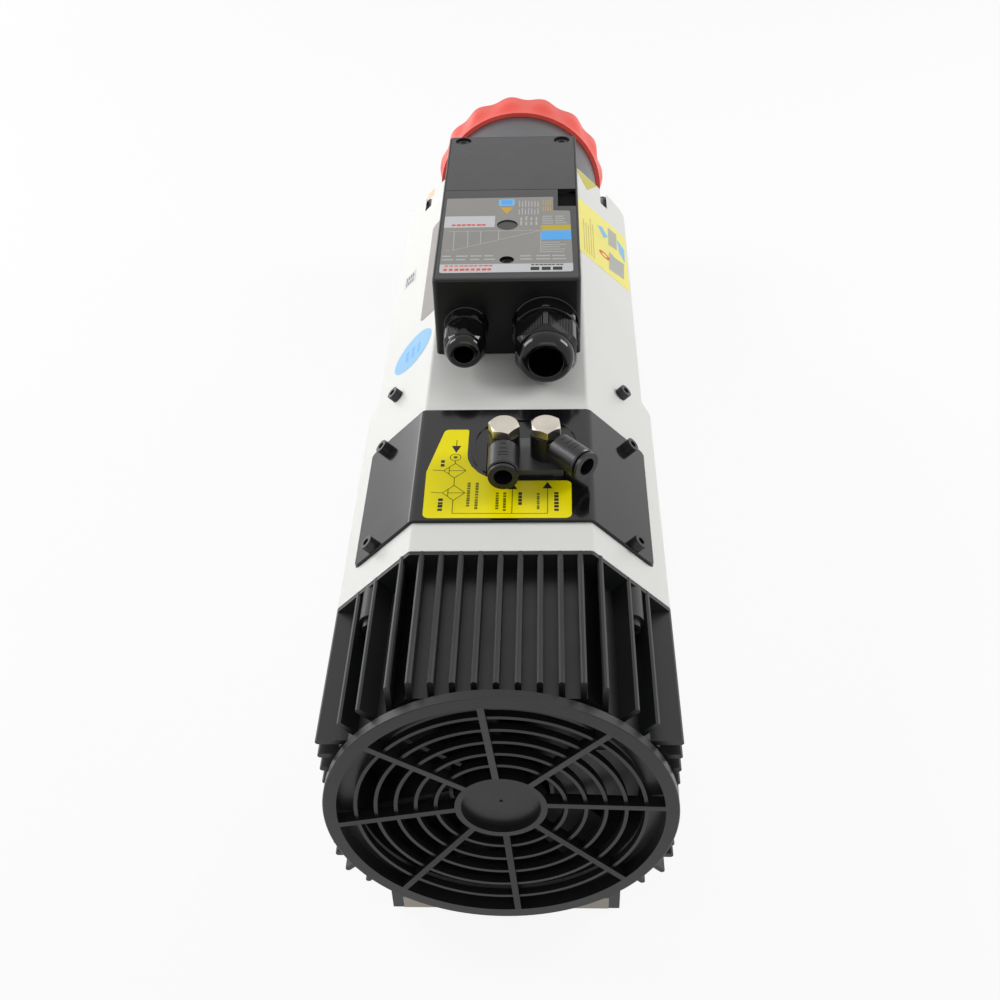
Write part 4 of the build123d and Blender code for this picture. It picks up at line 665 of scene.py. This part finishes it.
def cap_loop(share):
    """Loop round the cap's outside at a share of its length."""
    station = CAP_START + share * (CAP_END - CAP_START)
    over = max(0.0, station - (CAP_END - CAP_EDGE))
    drop = CAP_EDGE - sqrt(max(0.0, CAP_EDGE * CAP_EDGE - over * over))

    def loop(turn):
        wave = cos(CAP_LOBES * (turn - radians(90 + CAP_LOBE_TURN)))
        radius = CAP_RADIUS + CAP_LOBE_HEIGHT * cap_flare(share) * (0.5 + 0.5 * wave) - drop
        return station, radius

    return loop


def make_cap():
    """Soft cap: plain round rim, waves for the fingers that grow forwards, rounded edge."""
    shape = bmesh.new()
    turns = [2 * pi * step / CAP_STEPS for step in range(CAP_STEPS)]
    outer_loops = [cap_loop(index / CAP_ROWS) for index in range(CAP_ROWS + 1)]
    bore_loops = [round_loop(CAP_START, CAP_BORE), round_loop(CAP_INSIDE_END, CAP_BORE)]
    outside = turned_rows(shape, round_axis, turns, outer_loops)
    rim, bottom = turned_rows(shape, round_axis, turns, bore_loops)
    rows = [bottom, rim] + outside
    for low, high in zip(rows, rows[1:]):
        bridge(shape, low, high)
    shape.faces.new(outside[-1])
    shape.faces.new(bottom[::-1])
    for face in shape.faces:
        face.smooth = True
    cap = add_piece("soft_cap", to_mesh("soft_cap", shape), FINISH["cap_red"], "cap", "nose_cap")
    sharpen(cap, CAP_SHARP_ANGLE)


# ---------------------------------------------------------------- hexagons with cut corners
HEX_TURN = radians(60)
HEX_SHARP_ANGLE = 24


def corner_cut(flat, land):
    """Where a flat ends at the cut corner: distance out, and distance along the flat."""
    along = (land - flat * cos(HEX_TURN / 2)) / sin(HEX_TURN / 2)
    return flat, along


def hex_turns(flat, land, first, steps):
    """Angles round a hexagon: in steps across each flat, and one at the middle of each cut."""
    cut = acos(flat / hypot(*corner_cut(flat, land)))
    turns = []
    for side in range(6):
        middle = first + side * HEX_TURN
        turns += [middle + cut * (2 * step / steps - 1) for step in range(steps + 1)]
        turns.append(middle + HEX_TURN / 2)
    return turns


def hex_radius(turn, flat, land, first):
    """Radius out to a flat or to a cut corner; first is the direction of one flat."""
    off = (turn - first + HEX_TURN / 2) % HEX_TURN - HEX_TURN / 2
    return min(flat / cos(off), land / cos(HEX_TURN / 2 - abs(off)))


# ---------------------------------------------------------------- cable glands
GLAND_FACE = 183.0  # the box's near face, as a station
GLAND_HEIGHT = COVER_TOP + 21.2
SMALL_GLAND_X, LARGE_GLAND_X = -25.5, 23.5
GLAND_TURN_STEPS = 12
NUT_FIRST_FLAT = radians(0)
COLLAR_LENGTH, COLLAR_EDGE = 1.4, 0.4
DOME_STEPS = 14
DOME_STEP = 0.25  # the dome is this much smaller than the cone's end
DOME_RISE, DOME_ROUNDNESS = 0.92, 0.85  # 1 and 1 make an ellipse
LIP, LIP_EDGE = 0.45, 0.2
SATIN_LOOPS = 8  # loops of the nut before the glossy dome begins
RIB_PITCH, RIB_WIDTH, RIB_HEIGHT = 1.05, 0.75, 0.30
RIB_SINK = 0.05
RIB_REAR_GAP, RIB_FRONT_GAP, RIB_SIDE_GAP = 0.3, 0.25, 0.5
BASE_CONE = 1.3
CONE_TOP_SHARE = 0.97  # of the distance to a flat
FLANGE_EDGE = 0.5
THREAD_STEP = 0.8  # the tail in the box is this much thicker than the neck
TAIL = 8.0


def round_gland(x):
    """Places round a gland's axis: (turn, how far out of the box's face, radius)."""
    def place(turn, out, radius):
        return spot(x + radius * cos(turn), GLAND_FACE - out, GLAND_HEIGHT + radius * sin(turn))
    return place


def skin(shape, x, turns, loops, satin=0):
    """Closed skin through loops: satin between the first ones, as many as given, then glossy."""
    rows = turned_rows(shape, round_gland(x), turns, loops)
    rows.append(rows[0])
    for index, (low, high) in enumerate(zip(rows, rows[1:])):
        for face in bridge(shape, low, high):
            face.material_index = 1 if index < satin else 0
            face.smooth = True


def finish_gland(name, shape, node):
    """Turn a skin into a piece with a glossy and a satin black."""
    mesh = to_mesh(name, shape)
    made = add_piece(name, mesh, FINISH["gland_black"], "housing", node)
    mesh.materials.append(SATIN)
    sharpen(made, HEX_SHARP_ANGLE)


def add_rib(shape, place, middle, flat, along, rear, front):
    """Ridge along a nut's flat, on the side whose middle is given."""
    corners = []
    for out in (rear, front):
        for shift, lift in ((-RIB_WIDTH / 2, -RIB_SINK), (0, RIB_HEIGHT),
                            (RIB_WIDTH / 2, -RIB_SINK)):
            across = Vector((flat + lift, along + shift))
            turn = middle + atan2(across.y, across.x)
            corners.append(shape.verts.new(place(turn, out, across.length)))
    a, b, c, d, e, f = corners
    for face in ((a, b, c), (f, e, d), (a, d, e, b), (b, e, f, c), (c, f, d, a)):
        shape.faces.new(face).material_index = 1


def gland_nut(name, node, x, start, collar, flat, land, shoulder, dome_start, dome, end, hole,
              bore):
    """Dome nut: thin collar, ribbed flats between cut corners, cone, glossy dome with a lip."""
    first = NUT_FIRST_FLAT
    turns = hex_turns(flat, land, first, GLAND_TURN_STEPS)
    hex_start = start + COLLAR_LENGTH

    def cone(radius):
        return shoulder + (dome_start - shoulder) * (land - radius) / (land - dome)

    def side_end(turn):
        radius = hex_radius(turn, flat, land, first)
        return cone(radius), radius

    def side_start(turn):
        return hex_start, hex_radius(turn, flat, land, first)

    loops = [round_loop(start, bore), round_loop(start, collar - COLLAR_EDGE),
             round_loop(start + COLLAR_EDGE, collar), round_loop(hex_start - COLLAR_EDGE, collar),
             round_loop(hex_start, collar - COLLAR_EDGE), side_start, side_end,
             round_loop(dome_start, dome), round_loop(dome_start, dome - DOME_STEP)]
    face = hole + LIP
    for step in range(1, DOME_STEPS):
        swing = pi / 2 * step / DOME_STEPS
        loops.append(round_loop(
            dome_start + (end - dome_start) * sin(swing) ** DOME_RISE,
            face + (dome - DOME_STEP - face) * cos(swing) ** DOME_ROUNDNESS,
        ))
    loops += [round_loop(end, face), round_loop(end - LIP_EDGE, hole + LIP_EDGE),
              round_loop(end - LIP, hole), round_loop(hex_start, hole)]
    shape = bmesh.new()
    skin(shape, x, turns, loops, SATIN_LOOPS)
    reach = corner_cut(flat, land)[1] - RIB_SIDE_GAP
    count = int(2 * reach / RIB_PITCH)
    for side in range(6):
        for rib in range(count):
            along = (rib - (count - 1) / 2) * RIB_PITCH
            front = cone(hypot(flat, abs(along) + RIB_WIDTH / 2)) - RIB_FRONT_GAP
            add_rib(shape, round_gland(x), first + side * HEX_TURN, flat, along,
                    hex_start + RIB_REAR_GAP, front)
    finish_gland(name, shape, node)


def gland_body(name, node, x, first, flange, flange_end, flat, land, end, neck, neck_end, bore):
    """Fixed half: rounded flange, hexagon with coned corners, neck, and the tail in the box."""
    turns = hex_turns(flat, land, first, GLAND_TURN_STEPS)
    cone_top = flat * CONE_TOP_SHARE

    def side(turn):
        return flange_end, hex_radius(turn, flat, land, first)

    def front(turn):
        radius = hex_radius(turn, flat, land, first)
        return end - BASE_CONE * (radius - cone_top) / (land - cone_top), radius

    loops = [round_loop(-TAIL, bore), round_loop(-TAIL, neck + THREAD_STEP),
             round_loop(0, neck + THREAD_STEP), round_loop(0, flange),
             round_loop(flange_end - FLANGE_EDGE, flange),
             round_loop(flange_end, flange - FLANGE_EDGE), side, front,
             round_loop(end, cone_top), round_loop(end, neck), round_loop(neck_end, neck),
             round_loop(neck_end, bore)]
    shape = bmesh.new()
    skin(shape, x, turns, loops)
    finish_gland(name, shape, node)


def make_glands():
    """Both cable glands: lengths run out of the box's face, the rest are radii."""
    gland_nut("small_gland_dome", "small_gland_nut", SMALL_GLAND_X, start=9.7, collar=13.5,
              flat=12.0, land=13.2, shoulder=24.4, dome_start=27.6, dome=11.6, end=33.1, hole=6.0,
              bore=9.2)
    gland_nut("large_gland_dome", "large_gland_nut", LARGE_GLAND_X, start=11.6, collar=20.2,
              flat=18.0, land=19.9, shoulder=30.2, dome_start=34.0, dome=17.4, end=42.2, hole=10.2,
              bore=15.2)
    gland_body("small_gland_base", "small_gland_body", SMALL_GLAND_X, first=radians(90),
               flange=13.8, flange_end=1.6, flat=12.0, land=13.3, end=9.1, neck=9.0, neck_end=21.7,
               bore=8.2)
    gland_body("large_gland_base", "large_gland_body", LARGE_GLAND_X, first=radians(0),
               flange=20.85, flange_end=2.0, flat=18.0, land=20.0, end=11.0, neck=15.0,
               neck_end=27.6, bore=12.4)


# ---------------------------------------------------------------- air fittings
BOLT_STATION = 74.2
LEFT_BOLT_X, RIGHT_BOLT_X = 0.5, 23.5
LEFT_BOLT_CORNER, RIGHT_BOLT_CORNER = -12.0, 36.0  # degrees from the right to one corner
BOLT_FOOT, BOLT_SEAT, BOLT_TOP = 86.0, 111.6, 116.8
BOLT_SHANK = 5.0
BOLT_FLAT, BOLT_CORNER, BOLT_CROWN = 7.75, 8.8, 7.5
BOLT_TURN_STEPS = 4
CONE_SLOPE = 0.58
# Turned ring on a bolt's head: (depth below the top, radius).
HEAD_RING = ((0, 3.3), (0.15, 2.7), (0.15, 2.2), (0.03, 1.6), (0.03, 0.7), (0.2, 0.2))
ARM_HEIGHT = 105.3
ARM_RADIUS = 8.75
LEFT_ARM, RIGHT_ARM = (0, -1), (0.6769, -0.7361)  # way out of the sleeves, from above
# Bars on a sleeve: (start and end along the sleeve, half length round it).
SLEEVE_BARS = ((13.2, 14.1, 1.4), (17.4, 18.2, 2.2), (20.6, 21.5, 3.0), (23.0, 23.8, 2.6))
SLEEVE_BAR_LIFT, SLEEVE_BAR_DEPTH = -0.05, 0.28
SLEEVE_BAR_PIECES = 4  # so that a bar bends round the sleeve


def round_bolt(x):
    """Places round a bolt's axis: (turn, height, radius)."""
    def place(turn, height, radius):
        return spot(x + radius * cos(turn), BOLT_STATION + radius * sin(turn), height)
    return place


def add_bolt(shape, x, corner):
    """Banjo bolt with one corner of its hexagon at an angle in degrees."""
    first = radians(corner) + HEX_TURN / 2
    turns = hex_turns(BOLT_FLAT, BOLT_CORNER, first, BOLT_TURN_STEPS)

    def foot(turn):
        return BOLT_SEAT, hex_radius(turn, BOLT_FLAT, BOLT_CORNER, first)

    def crown(turn):
        radius = hex_radius(turn, BOLT_FLAT, BOLT_CORNER, first)
        return BOLT_TOP - CONE_SLOPE * (radius - BOLT_CROWN), radius

    loops = [round_loop(BOLT_FOOT, BOLT_SHANK), round_loop(BOLT_SEAT, BOLT_SHANK), foot, crown,
             round_loop(BOLT_TOP, BOLT_CROWN)]
    loops += [round_loop(BOLT_TOP - depth, radius) for depth, radius in HEAD_RING]
    rows = turned_rows(shape, round_bolt(x), turns, loops)
    for low, high in zip(rows, rows[1:]):
        for face in bridge(shape, low, high):
            face.smooth = True
    shape.faces.new(rows[0][::-1])
    shape.faces.new(rows[-1])


def make_bolts():
    """Banjo bolts: hexagon heads coned at the top, with a shallow turned ring."""
    shape = bmesh.new()
    add_bolt(shape, LEFT_BOLT_X, LEFT_BOLT_CORNER)
    add_bolt(shape, RIGHT_BOLT_X, RIGHT_BOLT_CORNER)
    mesh = to_mesh("hex_bolts", shape)
    bolts = add_piece("hex_bolts", mesh, FINISH["nickel"], "housing", "banjo_bolts")
    sharpen(bolts, HEX_SHARP_ANGLE)


def on_sleeve(x, ahead):
    """Places on top of an elbow's sleeve: (round the sleeve, out along it, lift)."""
    out = Vector(ahead).normalized()
    side = Vector((-out.y, out.x))

    def place(around, along, lift):
        turn = around / ARM_RADIUS
        reach = ARM_RADIUS + lift
        flat = out * along + side * reach * sin(turn)
        return spot(x + flat.x, BOLT_STATION + flat.y, ARM_HEIGHT + reach * cos(turn))
    return place


def sleeve_marks(name, x, ahead, body):
    """Short raised bars on a sleeve, where moulded print would be."""
    shapes = []
    for low, high, half in SLEEVE_BARS:
        ends = [half * (2 * step / SLEEVE_BAR_PIECES - 1) for step in range(SLEEVE_BAR_PIECES + 1)]
        for first, last in zip(ends, ends[1:]):
            shapes.append(box_corners(first, low, last, high))
    ink(name, on_sleeve(x, ahead), shapes, FINISH["elbow_black"], SLEEVE_BAR_LIFT,
        SLEEVE_BAR_DEPTH, body)


air_label()
rating_label()
right_stickers()
left_stickers()
make_cap()
make_glands()
make_bolts()
sleeve_marks("left_sleeve_marks", LEFT_BOLT_X, LEFT_ARM, "left_swivel")
sleeve_marks("right_sleeve_marks", RIGHT_BOLT_X, RIGHT_ARM, "right_swivel")


# ---------------------------------------------------------------- stage and light
WHITE = (1, 1, 1, 1)
FLOOR_REACH = 6.0  # metres
FLOOR_COLOUR = (0.90, 0.90, 0.90, 1)
FLOOR_ROUGHNESS, FLOOR_LEVEL = 0.9, 0.1
FLOOR_WHITENESS = 0.9  # how much of the floor's own shading the camera loses to plain white
WORLD_COLOUR = (0.95, 0.97, 1.0, 1)
WORLD_STRENGTH = 0.34
# Soft boxes: (name, place, point it is turned to, size), all in metres, then power in watts.
LAMPS = (
    ("box_left", (-1.5, 0.35, 1.05), (0, 0.1, 0.1), (0.7, 1.0), 18),
    ("box_right", (1.6, 0.35, 0.95), (0, 0.1, 0.1), (0.6, 0.9), 16),
    ("box_front", (0.2, -2.0, 1.0), (0, -0.2, 0.1), (1.6, 1.0), 5.2),
    ("card_left", (-1.25, 1.25, 0.22), (0, 0, 0.15), (1.3, 0.42), 3.2),
)


def seen_rays(tree):
    """1 for the rays that show a background: the camera's, a mirror's and a glass's."""
    path = tree.nodes.new("ShaderNodeLightPath")
    last = path.outputs["Is Camera Ray"]
    for ray in ("Is Glossy Ray", "Is Transmission Ray"):
        either = tree.nodes.new("ShaderNodeMath")
        either.operation = "MAXIMUM"
        tree.links.new(last, either.inputs[0])
        tree.links.new(path.outputs[ray], either.inputs[1])
        last = either.outputs[0]
    return last


def mixed(tree, share, base, other):
    """Shader that goes from one to another with the share."""
    mix = tree.nodes.new("ShaderNodeMixShader")
    tree.links.new(share, mix.inputs[0])
    tree.links.new(base.outputs[0], mix.inputs[1])
    tree.links.new(other.outputs[0], mix.inputs[2])
    return mix.outputs[0]


def camera_white(tree, base, amount):
    """Shader that shows white where the camera, a mirror or glass looks, and base otherwise."""
    white = tree.nodes.new("ShaderNodeEmission")
    white.inputs["Color"].default_value = WHITE
    white.inputs["Strength"].default_value = 1.0
    share = tree.nodes.new("ShaderNodeMath")
    share.operation = "MULTIPLY"
    share.inputs[1].default_value = amount
    tree.links.new(seen_rays(tree), share.inputs[0])
    return mixed(tree, share.outputs[0], base, white)


def make_floor():
    """Plain pale floor under the mounting face."""
    mesh = bpy.data.meshes.new("floor")
    low, high = -FLOOR_REACH, FLOOR_REACH
    corners = [(low, low, 0), (high, low, 0), (high, high, 0), (low, high, 0)]
    mesh.from_pydata(corners, [], [(0, 1, 2, 3)])
    floor = bpy.data.objects.new("floor", mesh)
    bpy.context.scene.collection.objects.link(floor)
    made = bpy.data.materials.new("floor_white")
    made.use_nodes = True
    tree = made.node_tree
    shader = tree.nodes["Principled BSDF"]
    shader.inputs["Base Color"].default_value = FLOOR_COLOUR
    shader.inputs["Roughness"].default_value = FLOOR_ROUGHNESS
    shader.inputs["Specular IOR Level"].default_value = FLOOR_LEVEL
    out = tree.nodes["Material Output"]
    tree.links.new(camera_white(tree, shader, FLOOR_WHITENESS), out.inputs["Surface"])
    mesh.materials.append(made)


def make_world():
    """Even pale world, white where the camera looks past the floor."""
    world = bpy.data.worlds.new("studio")
    bpy.context.scene.world = world
    world.use_nodes = True
    tree = world.node_tree
    back = tree.nodes["Background"]
    back.inputs["Color"].default_value = WORLD_COLOUR
    back.inputs["Strength"].default_value = WORLD_STRENGTH
    bright = tree.nodes.new("ShaderNodeBackground")
    bright.inputs["Color"].default_value = WHITE
    bright.inputs["Strength"].default_value = 1.0
    seen = mixed(tree, seen_rays(tree), back, bright)
    tree.links.new(seen, tree.nodes["World Output"].inputs["Surface"])


def lamp(name, place, aim, size, power):
    """Soft box at a place, turned to a point."""
    data = bpy.data.lights.new(name, "AREA")
    data.shape = "RECTANGLE"
    data.size, data.size_y = size
    data.energy = power
    made = bpy.data.objects.new(name, data)
    made.location = place
    made.rotation_mode = "QUATERNION"
    made.rotation_quaternion = (Vector(aim) - Vector(place)).to_track_quat("-Z", "Y")
    bpy.context.scene.collection.objects.link(made)


make_floor()
make_world()
for row in LAMPS:
    lamp(*row)
